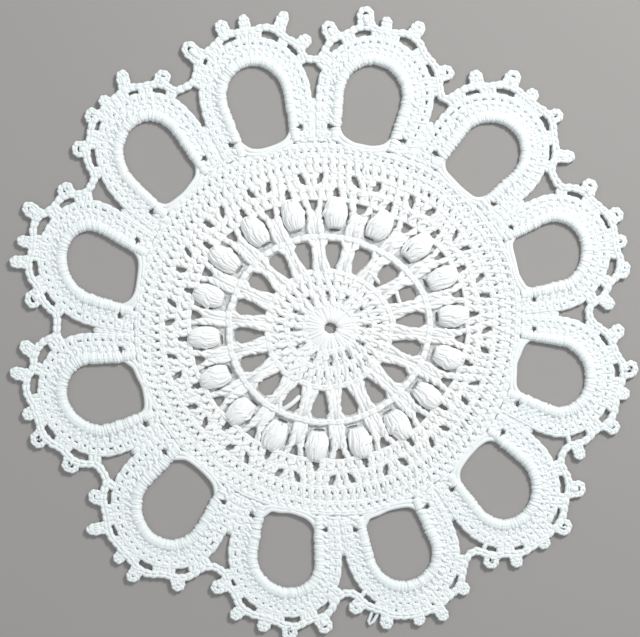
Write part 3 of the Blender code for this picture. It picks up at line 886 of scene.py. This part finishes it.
def set_petals(shape, inner, outer, places=arch_places, fill=1.0):
    """Strand paths of one shape in every stitch of every petal."""
    across, up, height = shape.T
    place = in_rows(np.tile(places, PETALS))
    bearing = in_rows(np.repeat(petal_bearings, len(places)))
    stitches = len(place)
    out = inner + (outer - inner) * up[None, :] + uneven((stitches, 1), PETAL_UNEVEN["out"])
    spread = np.maximum(fill * pitch_at(place, out) - LEG, THINNEST) / (2 * LEG_SPREAD)
    along = across[None, :] * spread * (1 + uneven((stitches, 1), PETAL_UNEVEN["wide"]))
    along = along + uneven((stitches, 1), PETAL_UNEVEN["aside"])
    along = along + slot_shift(place, out) + uneven((stitches, len(up)), PETAL_UNEVEN["bent"])
    height = height[None, :] + uneven((stitches, 1), PETAL_UNEVEN["up"])
    return raised(on_petal(bearing, place, out, along), height)


print("a stitch on a petal's side has", round(LEG_PITCH, 2), "mm of room")

# %% [markdown]
# The stitches wrap the chain that they are worked round, and their loops make the smooth cord that edges the
# opening. A plain tube would do from afar, but the wraps show as fine ribs, so each is its own strand, four
# to a stitch. Two thicker strands round the corners at the foot, where the chain is fastened to the disc.

# %% Wrap the cords round the petals' openings
CORD_WRAP = np.array([  # mm along the arch, mm out from the opening, mm over the table
    (0.0, 1.00, 0.60),
    (0.0, 0.50, 1.00),
    (0.0, 0.85, 1.60),
    (0.0, 1.80, 1.82),
    (0.0, 3.00, 1.66),
    (0.0, 4.20, 1.10),
])
CORD_THREAD = 1.6
WRAPS_EACH = 4  # wraps to a stitch
FIRST_WRAP = 0.1  # where they start, in stitches from the foot
FOOT_CORDS = (  # the two strands that round an opening's corners: mm aside, and mm from the doily's middle
    ((11.6, 78.2), (10.5, 75.8), (8.9, 73.6), (6.8, 72.1), (3.4, 71.3), (0.0, 71.0)),
    ((12.4, 76.4), (11.0, 73.8), (9.1, 71.9), (6.8, 70.9), (3.4, 70.3), (0.0, 70.1)),
)
FOOT_THREAD = 2.1
FOOT_HEIGHTS = np.array([0.7, 0.9, 1.1, 1.2, 1.1, 1.0, 1.1, 1.2, 1.1, 0.9, 0.7])
FOOT_UNEVEN = 0.12
wraps = np.linspace(FIRST_WRAP, ARCH_ROOM - FIRST_WRAP, WRAPS_EACH * ARCH_ROOM)
feet = []
for right in FOOT_CORDS:
    route = np.array([(-aside, radius) for aside, radius in right] + list(right[-2::-1]))
    for bearing in petal_bearings:
        places = lay_across(bearing, route[:, 0], np.sqrt(route[:, 1] ** 2 - route[:, 0] ** 2))
        feet.append(raised(places + uneven(places.shape, FOOT_UNEVEN), FOOT_HEIGHTS))
cord = spin("cord", set_petals(CORD_WRAP, 0.0, 1.0, wraps), CORD_THREAD)
foot = spin("foot", np.array([rounded(strand) for strand in feet]), FOOT_THREAD)
petal_cords = join("petal_cords", [cord, foot])

# %% [markdown]
# A row of tall stitches fills the arch, and a row of short ones, Vs of two legs, makes its outer rim. Between
# the stitches a soft fill lies low, as their backs do, except at the slots, which stay open.

# %% Work the petals' stitches
SHORT_OVER = np.array([  # a short stitch of the outer row: one leg of its V
    (-0.10, -0.06, 0.90),
    (-0.44, 0.30, 1.35),
    (-0.66, 0.70, 1.52),
    (-0.50, 1.06, 1.00),
])
SHORT_UNDER = SHORT_OVER * (-1, 1, 1) - np.array([(0, 0, 0.1)])
SHORT_LEG = 1.45
SHORT = ((SHORT_OVER, SHORT_LEG), (SHORT_UNDER, SHORT_LEG), (INNER, CORE))
CORD_LINE = 2.1  # how far out from the opening the tall stitches start
ROW_LINE = 7.1  # where they end and the short ones start
SHORT_LINE = 10.1  # and where those end
TALL_FILL = 1.06  # share of its room that a tall stitch fills, so neighbours just overlap
ROW_FILLS = ((CORD_LINE, ROW_LINE, 2.1), (ROW_LINE + 0.9, 10.4, 1.5))  # from, to, and how thick
SLOT_CLEAR = 0.1  # stitches
petals = []
for strand, thick in TALL:
    petals.append(spin("petal", set_petals(strand, CORD_LINE, ROW_LINE, fill=TALL_FILL), thick))
for strand, thick in SHORT:
    petals.append(spin("short", set_petals(strand, ROW_LINE, SHORT_LINE), thick))
between_places = (arch_places[1:] + arch_places[:-1]) / 2
from_feet = np.minimum(between_places, ARCH_ROOM - between_places)
between_places = between_places[np.abs(from_feet - SLOT_PLACE) > SLOT_CLEAR]
for start, end, thick in ROW_FILLS:
    petals.append(spin("between", set_petals(FILL, start, end, between_places), thick))
petal_stitches = join("petal_stitches", petals)

# %% [markdown]
# The loops that top each row run round the arch as a chain, one over the tall stitches and one at the rim.
# Slip stitches join the feet of two petals, and they show as a chain too, straight out from the disc.

# %% Top the rows and join the petals
RIM = 9.7  # how far out from the opening the rim's chain runs
ROW_CHAINS = ((ROW_LINE, 0.90, 0.5), (RIM, 1.0, 0.65))  # how far out, how high and how wide
SEAM = np.linspace(70.6, 85.4, 7)  # the slip stitches between two petals' feet, out from the middle
SEAM_HEIGHT = 0.75
SEAM_SIDE = 0.7
tops = []
for bearing in petal_bearings:
    for out, height, side in ROW_CHAINS:
        places = raised(on_petal(bearing, arch_places, out), height)
        tops.append(spin("top", links_through(places, side=side), TOP_THREAD))
for bearing in petal_bearings + PETAL_STEP / 2:
    places = raised(lay(bearing, SEAM), SEAM_HEIGHT)
    tops.append(spin("seam", links_through(places, side=SEAM_SIDE), TOP_THREAD))
petal_tops = join("petal_tops", tops)

# %% [markdown]
# ## The edging
# Last comes a chain that stands off each petal in four loops and crosses from petal to petal. Each loop could
# be a piece of its own, but it is one chain on the real doily, so it is one closed line here. Where it lies
# over a slit it swings out, and in between it is held to the petal.

# %% How far out the edging's chain lies
CHAIN_HALF = 1.6  # from the chain's middle to its side
CHAIN_HELD = 24.0  # from the arch's centre to the chain where it is held
SWING_BEFORE = 6  # it starts to swing out so many degrees before a slit
SWING_PAST = 4  # and is all the way out so many past the slit's end


def slit_spans(petal):
    """Where the four loops of a petal's edging start and end, in degrees, and how far out they lie."""
    for middle, kind in zip(PETAL_SLITS[petal], SLIT_OPEN[petal]):
        inner_side, half = SLIT_KINDS[kind]
        yield max(middle - half, -SLITS_END), min(middle + half, SLITS_END), inner_side + CHAIN_HALF


def edging_distance(turn, petal):
    """How far the edging's chain lies from the arch's centre: out over a slit, and held in between."""
    turn = np.asarray(turn, float)
    distance = np.full_like(turn, CHAIN_HELD)
    for start, end, out in slit_spans(petal):
        begun = eased(turn, start - SWING_BEFORE, start + SWING_PAST)
        over = begun * (1 - eased(turn, end - SWING_PAST, end + SWING_BEFORE))
        distance = np.maximum(distance, CHAIN_HELD + (out - CHAIN_HELD) * over)
    return distance


def held_until(petal):
    """How far round its arch, in degrees, an edging follows its petal before it crosses to the next one's."""
    radius = PETAL_LIE[petal][PETAL_COLUMNS.index("joint")] + JOINT_CHAIN / 2
    cosine = (radius ** 2 - ARCH_MID ** 2 - CHAIN_HELD ** 2) / (2 * ARCH_MID * CHAIN_HELD)
    return min(max(math.degrees(math.acos(cosine)), EDGING_END), EDGING_FURTHEST)


def joint_place(petal, beyond):
    """The place on the ray after a petal where its edging meets the next one's."""
    lie = dict(zip(PETAL_COLUMNS, PETAL_LIE[petal]))
    ray = petal_bearings[petal] + PETAL_STEP / 2
    place = lay(ray, lie["joint"])
    radius = 2 * lie["joint"] - math.hypot(place[0] + MIDDLE[0], place[1] + MIDDLE[1])
    return lay(ray, radius + beyond)


print("the edging follows the first petal for", round(held_until(0)), "degrees to each side")

# %% [markdown]
# The line is drawn with too many points, walked in even steps, and its corners are rounded. Only then is it
# walked again in steps as long as a link, so all the links come out the same length.

# %% Lay the edging's chain
CHAIN_PITCH = 2.7
CHAIN_HEIGHT = 1.2
CHAIN_SIDE = 1.0
CHAIN_THREAD = 1.75
FINE_STEP = 0.5
CORNER_STEPS = 3
LINE_POINTS = 90  # round one petal


def even_steps(places, pitch):
    """The same line as places one pitch apart."""
    reach = np.concatenate([[0], np.cumsum(np.linalg.norm(np.diff(places, axis=0), axis=1))])
    steps = max(2, round(reach[-1] / pitch))
    wanted = np.linspace(0, reach[-1], steps + 1)
    return np.stack([np.interp(wanted, reach, places[:, n]) for n in (0, 1)], axis=1)


def smoothed(ring, reach):
    """A closed line of even steps with its corners rounded over so many steps."""
    shifts = np.arange(-2 * reach, 2 * reach + 1)
    weights = np.exp(-0.5 * (shifts / reach) ** 2)
    weights /= weights.sum()
    return sum(weight * np.roll(ring, shift, axis=0) for shift, weight in zip(shifts, weights))


line = []
for petal, bearing in enumerate(petal_bearings):
    turns = np.linspace(-held_until(petal - 1), held_until(petal), LINE_POINTS)
    line.extend(on_arch(bearing, turns, edging_distance(turns, petal)))
    line.append(joint_place(petal, JOINT_CHAIN / 2))
fine = smoothed(even_steps(np.array(line + line[:1]), FINE_STEP)[:-1], CORNER_STEPS)
steps = even_steps(np.vstack([fine, fine[:1]]), CHAIN_PITCH)[:-1]
chain = closed_chain("edge", raised(steps, CHAIN_HEIGHT), CHAIN_SIDE, CHAIN_THREAD)
print("the edging has", len(steps), "links")

# %% [markdown]
# Between the slits, short strands run from the petal's rim to the chain and tie it down. They stand side by
# side like the wraps of the cord, and none crosses a slit.

# %% Tie the chain to the petals
TIE = ((20.6, 0.9), (22.2, 1.25), (23.2, 1.2), (24.6, 0.9))  # distance from the arch's centre, and height
TIE_THREAD = 1.9
TIE_STEP = 3.4  # degrees from one tie to the next
TIE_ROOM = 1.0  # degrees that a tie may stand inside a slit's end
TIE_PAST = 2.0  # degrees past the last place where the edging follows its petal
TIE_UNEVEN = 0.5  # degrees
TIE_BENT = 0.4
tie_heights = np.array([height for out, height in TIE])
tie_paths = []
for petal, bearing in enumerate(petal_bearings):
    spans = list(slit_spans(petal))
    first, last = -held_until(petal - 1) - TIE_PAST, held_until(petal) + TIE_PAST
    for turn in np.arange(first, last, TIE_STEP) + uneven((), TIE_UNEVEN):
        if not any(start + TIE_ROOM < turn < end - TIE_ROOM for start, end, out in spans):
            held = [on_arch(bearing, turn + uneven((), TIE_BENT), out) for out, height in TIE]
            tie_paths.append(raised(np.array(held), tie_heights))
edging_chains = join("edging_chains", [chain, spin("tie", np.array(tie_paths), TIE_THREAD)])

# %% [markdown]
# ## The picots
# A picot is four or five chain stitches closed back on the chain with a slip stitch. Its two sides stand
# close together, so it reads as a knob with a thin slit or none. A small ball would lose that slit and the
# bumps of the links, so each is a ring of links, squeezed narrow, round one thick strand that fills it.
# One of them has come open, and its thread stands in a loop.

# %% Places round a picot
PICOT_SIDE = 1.0  # from the middle of a picot's side to its outer edge
PICOT_TIP = 1.15  # from the middle of its outermost link to its tip
PICOT_HEIGHT = 1.3
PICOT_HALF_RING = (  # half widths, and shares of the way out
    (1.15, 0.0),
    (0.95, 0.34),
    (1.06, 0.72),
    (0.52, 1.0),
)


def picot_ring(bearing, turn, foot, reach, half, lean):
    """Places round one picot: out along one side, over its head and back."""
    sides = [(-side, share) for side, share in PICOT_HALF_RING] + list(PICOT_HALF_RING[::-1])
    places = []
    for side, share in sides:
        distance = foot + (reach - PICOT_TIP - foot) * share
        across = side * half + lean * (distance - foot)
        places.append(on_arch(bearing, turn + math.degrees(across / distance), distance))
    return raised(np.array(places), PICOT_HEIGHT)


print("a picot's ring has", 2 * len(PICOT_HALF_RING), "links")

# %% [markdown]
# Each picot starts where the chain lies at its place, so it could never float off it, and it leans a little
# by chance. Its ring is a closed chain, and its stem follows the same lean.

# %% Work the picots
PICOT_LINK = 0.72  # its links are narrower than the chain's
PICOT_THREAD = 1.35
PICOT_STARTS = 0.3  # from the chain's middle out to the picot's foot
PICOT_LEANS = 0.08  # mm aside for each mm out, by chance
STEM = 0.5  # the thickness of what fills a picot, as a share of its width
STEM_BACK = 0.4  # how far in from the picot's foot it starts
STEM_HEIGHT = 1.2
TORN = (5, 4)  # the petal and the picot whose ring has come open
TORN_HEIGHT = 0.9
TORN_LOOP = ((-3.5, 23.5), (-3.2, 26.5), (-2.4, 29.4), (-0.6, 31.2), (1.4, 30.2), (1.6, 27.6), (2.2, 23.5))
rings = []
for petal, bearing in enumerate(petal_bearings):
    for index, (turn, reach, wide) in enumerate(PETAL_PICOTS[petal]):
        foot = float(edging_distance(turn, petal)) + PICOT_STARTS
        lean = hands.normal(0.0, PICOT_LEANS)
        if (petal, index) == TORN:
            loop = np.array([on_arch(bearing, turn + aside, out) for aside, out in TORN_LOOP])
            rings.append(spin("torn", raised(loop, TORN_HEIGHT)[None]))
            continue
        ring = picot_ring(bearing, turn, foot, reach, wide / 2 - PICOT_SIDE, lean)
        rings.append(closed_chain("picot", ring, PICOT_LINK, PICOT_THREAD))
        stem_out = (foot - STEM_BACK, (foot + reach) / 2 - STEM_BACK, reach - wide / 2)
        stem = [on_arch(bearing, turn + math.degrees(lean * (out - foot) / out), out) for out in stem_out]
        rings.append(spin("stem", raised(np.array([stem]), STEM_HEIGHT), STEM * wide))
picots = join("picots", rings)

# %% [markdown]
# ## The loose strands
# A few strands have worked loose with use and lie across the openings. Each is a single strand from edge to
# edge of its opening, bowed a little aside and up, as thread keeps the bend that it was worked in.

# %% Lay the loose strands
LOOSE = (  # each one's ends, in mm on the table, how far it swings aside, and its thickness
    ((-16.0, -32.7), (-9.0, -27.4), 0.5, 1.8),
    ((16.7, 19.5), (20.9, 14.9), -0.3, 1.5),
    ((27.3, 12.4), (29.3, 6.2), 0.3, 1.5),
)
LOOSE_POINTS = 9
LOOSE_LOW = 0.5  # height of its ends
LOOSE_RISE = 1.2  # and how much higher it is in the middle
along = np.linspace(0, 1, LOOSE_POINTS)
loose_height = LOOSE_LOW + LOOSE_RISE * np.sin(math.pi * along) ** 0.5
loose = []
for start, end, swing, thick in LOOSE:
    start, end = np.array(start), np.array(end)
    way = (end - start) / np.linalg.norm(end - start)
    aside = swing * np.array([way[1], -way[0]])
    bow = 4 * along * (1 - along)  # 0 at the ends and 1 in the middle
    middle = [start + (end - start) * share + aside * bowed for share, bowed in zip(along, bow)]
    loose.append(spin("loose", raised(np.array(middle), loose_height)[None], thick))
loose_strands = join("loose_strands", loose)

# %% [markdown]
# ## The ground
# Behind the loops that show, each stitch has a back that closes the cloth. To lay all of that as strands
# would double the piece for what is hardly seen. So a thin openwork sheet stands for it: one flat drawing of
# outlines that is filled, where each outline inside another is a hole. A hole is given by a short profile of
# radii and half widths along its ray. The outlines may never cross, or the filling fails.

# %% The gaps of the wheel and the fans
SPOKE_GAP = ((23.8, 0.5), (25.2, 1.2), (27.6, 2.0), (29.8, 2.8), (31.8, 3.2), (33.4, 2.9), (34.6, 1.6))
FORK_GAP = ((46.2, 0.4), (47.6, 1.3), (49.2, 1.8), (50.8, 1.3))
FAN_GAP = ((50.4, 1.4), (52.2, 1.4), (54.9, 0.5))
EYELET = ((55.4, 0.9), (57.4, 1.2), (59.7, 0.7))
EYELET_TURNS = (-2.9, 2.9)  # degrees from a post to its two eyelets
EYELET_LEAN = 0.36  # mm aside for each mm out
RING_CLEAR = 0.9  # the ring's stitches hide the ground's edge by so much


def gap_outline(bearing, profile, lean=0.0, aside=0.0):
    """A hole along a ray, or aside from it. The profile gives radius and half width."""
    start = profile[0][0]
    sides = []
    for side, rows in ((1, profile), (-1, profile[::-1])):
        for radius, half in rows:
            sides.append(lay_across(bearing, aside + lean * (radius - start) + side * half, radius))
    return sides


holes = [list(lay(spaced(12), RING_HOLE + RING_CLEAR))]
for bearing in gap_bearings:
    post = bearing + SPOKE_STEP / 2
    holes += [gap_outline(bearing, SPOKE_GAP), gap_outline(bearing, FAN_GAP), gap_outline(post, FORK_GAP)]
    holes += [gap_outline(post + turn, EYELET, math.copysign(EYELET_LEAN, turn)) for turn in EYELET_TURNS]
print(len(holes), "gaps in the disc")

# %% [markdown]
# Each petal adds its opening and the two slots at its feet. The smallest gaps, between two pairs of the
# second round, at the spokes' ends and round the popcorns, are too small for the solid and only cut here.
# They could be left out, but without them the close parts look like felt.

# %% The petals' openings and the small gaps
FOOT_SLOT = ((74.7, 0.9), (75.5, 2.1), (76.3, 1.3))
FOOT_SLOT_ASIDE = HOLE_FOOT + 4.6
OPENING_POINTS = 36
CORD_COVERS = 1.7  # the cord hides the ground's edge by so much
PAIR_HOLE = (13.7, 0.55, 0.6)  # how far out, half its width and half its length
POST_HOLES = ((22.6, 0.45, 0.7), (39.4, 0.35, 0.9))
BUD_SIDE = ((42.2, 0.15), (44.5, 0.42), (47.4, 0.20))  # the narrow slits beside a popcorn
BUD_SIDE_ASIDE = 3.35
BUD_SIDE_LEAN = 0.06
BUD_FOOT = ((38.6, 1.2), (39.0, 2.2), (39.45, 1.2))  # and the one at its foot
BUD_FOOT_SHARE = 0.7  # the share of popcorns that show it
BUD_FOOT_ASIDE = 0.7


def small_hole(bearing, radius, half_across, half_out):
    turns = np.radians(spaced(8))
    return list(lay_across(bearing, half_across * np.sin(turns), radius + half_out * np.cos(turns)))


for bearing in petal_bearings:
    holes.append(list(on_petal(bearing, np.linspace(0.0, ARCH_ROOM, OPENING_POINTS), CORD_COVERS)))
    holes += [gap_outline(bearing, FOOT_SLOT, aside=side * FOOT_SLOT_ASIDE) for side in BESIDE]
holes += [small_hole(bearing, *PAIR_HOLE) for bearing in pairs + 180 / len(pairs)]
for bearing in post_bearings:
    holes += [small_hole(bearing, *size) for size in POST_HOLES]
    holes += [gap_outline(bearing, BUD_SIDE, side * BUD_SIDE_LEAN, side * BUD_SIDE_ASIDE) for side in BESIDE]
    if hands.random() < BUD_FOOT_SHARE:
        holes.append(gap_outline(bearing + SPOKE_STEP / 2, BUD_FOOT, aside=uneven((), BUD_FOOT_ASIDE)))
print(len(holes), "gaps with the petals and the small ones")

# %% [markdown]
# In the close rounds the cloth shows a pinhole here and there between the feet of two stitches. They come by
# chance, so the generator picks their places and sizes, within bounds that keep them off the rims.

# %% Prick the pinholes
PINHOLE = 0.60  # radius
PINHOLE_SIDES = 6
PINHOLE_SIZES = (0.75, 1.15)  # smallest and largest, as shares of that
PINHOLE_MOVED = 0.2
DISC_PINHOLES = (  # between which stitches, how far out, and the share of those places that have one
    (third_gaps, 17.9, 0.7),
    (inner_gaps, 62.7, 0.6),
    (outer_gaps, 67.6, 0.6),
)
RIM_PINHOLES = (ROW_LINE + 1.3, 0.7)  # the same between the short stitches of the petals


def pinholes(places, share):
    """Small holes of uneven size at some of these places."""
    for place in places:
        if hands.random() < share:
            size = PINHOLE * hands.uniform(*PINHOLE_SIZES)
            moved = place + hands.uniform(-PINHOLE_MOVED, PINHOLE_MOVED, 2)
            yield [moved + size * np.array(polar(turn, 1.0)) for turn in spaced(PINHOLE_SIDES)]


pricked = []
for bearings, radius, share in DISC_PINHOLES:
    pricked += pinholes(lay(bearings, radius), share)
for bearing in petal_bearings:
    pricked += pinholes(on_petal(bearing, between_places, RIM_PINHOLES[0]), RIM_PINHOLES[1])
print(len(pricked), "pinholes")

# %% [markdown]
# Yarn has no sharp corners, so each outline has its corners cut, and the larger ones have the new corners cut
# again. The filled drawing gets a thickness, and it becomes a mesh before its place is applied.

# %% Fill the ground
GROUND_LOW = 0.10
GROUND_THICK = 0.45
RIM_STARTS = 4.2  # stitches round the arch from a petal's foot, where the petals' own rims start
RIM_POINTS = 40
RIM_COVERS = 1.3  # the rim's chain hides the ground's edge by so much
ONE_CORNER = 1e-6  # corners of the drawing that are closer than this, in metres, are one
FEW_CORNERS = 6  # an outline with no more corners than this has them cut only once


def softened(outline, times):
    """An outline with its corners cut, so many times over."""
    outline = np.array(outline)
    for _ in range(times):
        onward = np.roll(outline, -1, axis=0)
        near, far = 0.75 * outline + 0.25 * onward, 0.25 * outline + 0.75 * onward
        outline = np.stack([near, far], axis=1).reshape(-1, 2)
    return outline


def drawn_flat(name, outlines):
    """The outlines as one filled flat drawing, made a mesh with a thickness."""
    drawing = bpy.data.curves.new(name, "CURVE")
    drawing.dimensions = "2D"
    drawing.fill_mode = "BOTH"
    drawing.extrude = GROUND_THICK / 2 * MM
    for outline in outlines:
        spline = drawing.splines.new("POLY")
        spline.points.add(len(outline) - 1)
        for point, (x, y) in zip(spline.points, outline):
            point.co = (x * MM, y * MM, 0, 1)
        spline.use_cyclic_u = True
    flat = drawn_as_mesh(name, drawing, ONE_CORNER)
    flat.location.z = (GROUND_LOW + GROUND_THICK / 2) * MM
    bpy.ops.object.transform_apply(location=True, rotation=True, scale=True)
    return flat


rims = []
for bearing in petal_bearings:
    rim_places = np.linspace(RIM_STARTS, ARCH_ROOM - RIM_STARTS, RIM_POINTS)
    rims += list(on_petal(bearing, rim_places, BAND - RIM_COVERS))
cut = [softened(hole, 1 if len(hole) <= FEW_CORNERS else 2) for hole in holes + pricked]
ground = join("ground", [drawn_flat("ground", [rims] + cut)])

# %% [markdown]
# ## The cotton
# The thread is plain white cotton, matt, with a faint sheen of loose fibres that catches the light from the
# side. An image of yarn could be laid on, but it would stretch on some strands and show its seams. A pattern
# that is worked out in the material's own nodes has no seams, and it keeps the same size on every strand.

# %% Helpers for a material's nodes
def add_node(tree, kind, settings=None, values=None, wires=None):
    """A node with these settings, these values on its inputs and these outputs wired into them."""
    node = tree.nodes.new("ShaderNode" + kind)
    for name, setting in (settings or {}).items():
        setattr(node, name, setting)
    for name, value in (values or {}).items():
        node.inputs[name].default_value = value
    for name, output in (wires or {}).items():
        tree.links.new(output, node.inputs[name])
    return node


def worked_out(tree, operation, *terms):
    """The result of a sum, whose terms are numbers or other nodes' outputs."""
    numbers = {place: term for place, term in enumerate(terms) if isinstance(term, float)}
    outputs = {place: term for place, term in enumerate(terms) if not isinstance(term, float)}
    return add_node(tree, "Math", {"operation": operation}, numbers, outputs).outputs[0]


def tinted(tree, value, start, end):
    """A colour between two, by a value from 0 to 1."""
    ramp = add_node(tree, "ValToRGB", wires={"Fac": value})
    ramp.color_ramp.elements[0].color = start
    ramp.color_ramp.elements[1].color = end
    return ramp.outputs["Color"]


def cotton(name):
    """Matt white cotton without a pattern yet."""
    material = bpy.data.materials.new(name)
    material.use_nodes = True
    tree = material.node_tree
    shader = tree.nodes["Principled BSDF"]
    shader.inputs["Roughness"].default_value = 0.75
    shader.inputs["Sheen Weight"].default_value = 0.25
    shader.inputs["Sheen Roughness"].default_value = 0.4
    return material, tree, shader


# %% [markdown]
# Three plies twist round each other, and each is round, so across the twist the surface goes up and down like
# the humps of a sine wave. The wave runs on the strand's own UV map, slanted, with long thin fibres over it.
# Only the bump shows it: at this size real grooves would need thousands of faces for each strand. The colour
# is nearly even, a little mottled, and a shade cooler on the petals.

# %% Mix the thread's cotton
PLIES = 3
PLY_TURN = 2.4  # mm along a strand in which the plies turn once
PLY_DEPTH = 0.12 * MM
FIBRES = (1.4, 16.0, 1.0)  # fibres are long, and there are many round a strand
FIBRE_SHARE = 0.9  # how much they add to the plies
MOTTLE = {"Scale": 60.0, "Detail": 3.0}  # patches to a metre
SHADE = (0.86, 0.87, 0.87, 1)
WHITE = (0.93, 0.93, 0.90, 1)
COOLER = (0.94, 0.975, 0.98, 1)  # what the petals' white is multiplied by
COOLER_FROM = 55 * MM
COOLER_TO = 80 * MM


def twisted_bump(tree):
    """The bump of the plies and fibres along each strand."""
    weave = add_node(tree, "UVMap", {"uv_map": "thread"}).outputs["UV"]
    split = add_node(tree, "SeparateXYZ", wires={"Vector": weave})
    along = worked_out(tree, "MULTIPLY", split.outputs["X"], 1 / PLY_TURN)
    turn = worked_out(tree, "ADD", along, split.outputs["Y"])
    wave = worked_out(tree, "SINE", worked_out(tree, "MULTIPLY", turn, PLIES * math.pi))
    round_ply = worked_out(tree, "ABSOLUTE", wave)
    stretched = add_node(tree, "Mapping", values={"Scale": FIBRES}, wires={"Vector": weave}).outputs["Vector"]
    fibres = add_node(tree, "TexNoise", values={"Scale": 1.0, "Detail": 2.0}, wires={"Vector": stretched})
    surface = worked_out(tree, "MULTIPLY_ADD", fibres.outputs["Fac"], FIBRE_SHARE, round_ply)
    depth = {"Strength": 0.42, "Distance": PLY_DEPTH}
    return add_node(tree, "Bump", values=depth, wires={"Height": surface}).outputs["Normal"]


def mottled_white(tree):
    """A white that varies a little, and is cooler on the petals."""
    place = add_node(tree, "TexCoord").outputs["Object"]
    mottle = add_node(tree, "TexNoise", values=MOTTLE, wires={"Vector": place})
    white = tinted(tree, mottle.outputs["Fac"], SHADE, WHITE)
    reach = add_node(tree, "VectorMath", {"operation": "LENGTH"}, wires={0: place}).outputs["Value"]
    span = {"From Min": COOLER_FROM, "From Max": COOLER_TO}
    outer = add_node(tree, "MapRange", values=span, wires={"Value": reach}).outputs["Result"]
    mixed = {"data_type": "RGBA", "blend_type": "MULTIPLY"}
    return add_node(tree, "Mix", mixed, {"B": COOLER}, {"Factor": outer, "A": white}).outputs["Result"]


def twisted_cotton():
    material, tree, shader = cotton("white_cotton_thread")
    tree.links.new(twisted_bump(tree), shader.inputs["Normal"])
    tree.links.new(mottled_white(tree), shader.inputs["Base Color"])
    return material


thread_cotton = twisted_cotton()
print(thread_cotton.name, "has", len(thread_cotton.node_tree.nodes), "nodes")

# %% [markdown]
# The ground stands for the backs of stitches, packed close. Its colour is painted shade: a white dimmed below
# the thread's, and darker still between the cells, as the shade of a deeper layer. A cell pattern gives both:
# each cell is the back of one loop, lighter by painted shade and higher by the bump in its middle.

# %% Mix the ground's cotton
BACK_LOOPS = 720.0  # loops to a metre
BACK_DEPTH = 0.5 * MM
# painted shade: the ground's lightest white is dimmed below the thread's, and its darkest is the shade of the
# deeper layer between loops
BACK_SHADED_WHITE = (0.80, 0.81, 0.80, 1)
BACK_PAINTED_DEEP_SHADE = (0.42, 0.42, 0.42, 1)


def shaded_backing_cotton():
    material, tree, shader = cotton("white_cotton_back_painted_shade")
    place = add_node(tree, "TexCoord").outputs["Object"]
    loops = add_node(tree, "TexVoronoi", values={"Scale": BACK_LOOPS}, wires={"Vector": place})
    far = loops.outputs["Distance"]
    depth = {"Strength": 0.9, "Distance": BACK_DEPTH}
    bump = add_node(tree, "Bump", {"invert": True}, depth, {"Height": far})
    tree.links.new(bump.outputs["Normal"], shader.inputs["Normal"])
    # painted shade: the colour darkens towards each cell's edge, where the backs of the loops would be shaded
    tree.links.new(tinted(tree, far, BACK_SHADED_WHITE, BACK_PAINTED_DEEP_SHADE), shader.inputs["Base Color"])
    return material


back_cotton_painted_shade = shaded_backing_cotton()
print(back_cotton_painted_shade.name, "has", len(back_cotton_painted_shade.node_tree.nodes), "nodes")

# %% [markdown]
# ## One cloth
# All the pieces are one cloth, so they move with one body, stand for one node and have one finish. Each round
# could be a part of its own, but then they could come apart.

# %% Put the pieces together
pieces = [
    close_rounds, spokes, popcorns, vee_stitches, fan_rounds, close_bands, petal_cords, petal_stitches,
    petal_tops, edging_chains, picots, loose_strands,
]
for piece in pieces + [ground]:
    piece.data.materials.clear()
    piece.data.materials.append(back_cotton_painted_shade if piece is ground else thread_cotton)
    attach(piece, "root")
    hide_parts("doily")
print(len(pieces) + 1, "pieces on one body")

# %% [markdown]
# ## The floor
# The doily lies on a plain painted floor. A table with a grain would look richer, but it would draw the eye
# off the lace and show through its holes.

# %% The floor
FLOOR = 14.0  # metres
FLOOR_PAINT = (0.33, 0.315, 0.30, 1)
bpy.ops.object.select_all(action="DESELECT")
bpy.ops.mesh.primitive_plane_add(size=FLOOR)
floor = bpy.context.object
floor.name = "floor"
paint = bpy.data.materials.new("floor_paint")
paint.use_nodes = True
paint_shader = paint.node_tree.nodes["Principled BSDF"]
paint_shader.inputs["Base Color"].default_value = FLOOR_PAINT
paint_shader.inputs["Roughness"].default_value = 0.9
floor.data.materials.append(paint)
print("the floor is", FLOOR, "m wide")

# %% [markdown]
# ## The light
# White lace is hard to light: with light from all round, its stitches vanish. So one small lamp stands to the
# upper right, where it puts a shadow beside each strand, and a wide faint one and the room lift the shadows.

# %% The lamps and the room
ROOM_TINT = (0.9, 0.95, 1.0, 1)
ROOM_LIGHT = 0.48


def softbox(name, place, size, power):
    """A square lamp that shines on the doily's middle."""
    light = bpy.data.lights.new(name, "AREA")
    light.size = size
    light.energy = power
    lamp = add_object(name, light)
    lamp.location = place
    lamp.rotation_euler = Vector(-np.array(place)).to_track_quat("-Z", "Y").to_euler()
    return lamp


softbox("key", place=(0.45, 0.50, 0.62), size=0.16, power=6.7)
softbox("fill", place=(-0.6, -0.3, 0.9), size=1.2, power=2.2)
world = bpy.data.worlds.new("room")
bpy.context.scene.world = world
world.use_nodes = True
world.node_tree.nodes["Background"].inputs["Color"].default_value = ROOM_TINT
world.node_tree.nodes["Background"].inputs["Strength"].default_value = ROOM_LIGHT
print(len(bpy.data.lights), "lamps")

# %% [markdown]
# ## The camera
# The camera looks straight down, so that the rounds stay round. It could stand close with a wide lens, but
# then the popcorns would lean outwards. A long lens from further off sees them all from above.

# %% The camera
FIELD = 0.240  # the width that the camera sees, at the height of the cloth, in metres
CLOTH_HEIGHT = 0.0015
CAMERA_OVER = (-0.00135, 0.00172)
camera_data = bpy.data.cameras.new("camera")
camera_data.lens = 85.0
camera_data.sensor_width = 36.0
camera = add_object("camera", camera_data)
camera.location = (*CAMERA_OVER, FIELD * camera_data.lens / camera_data.sensor_width + CLOTH_HEIGHT)
bpy.context.scene.camera = camera
bpy.context.scene.view_settings.view_transform = "Standard"
print("the camera is", round(camera.location.z, 3), "m up")
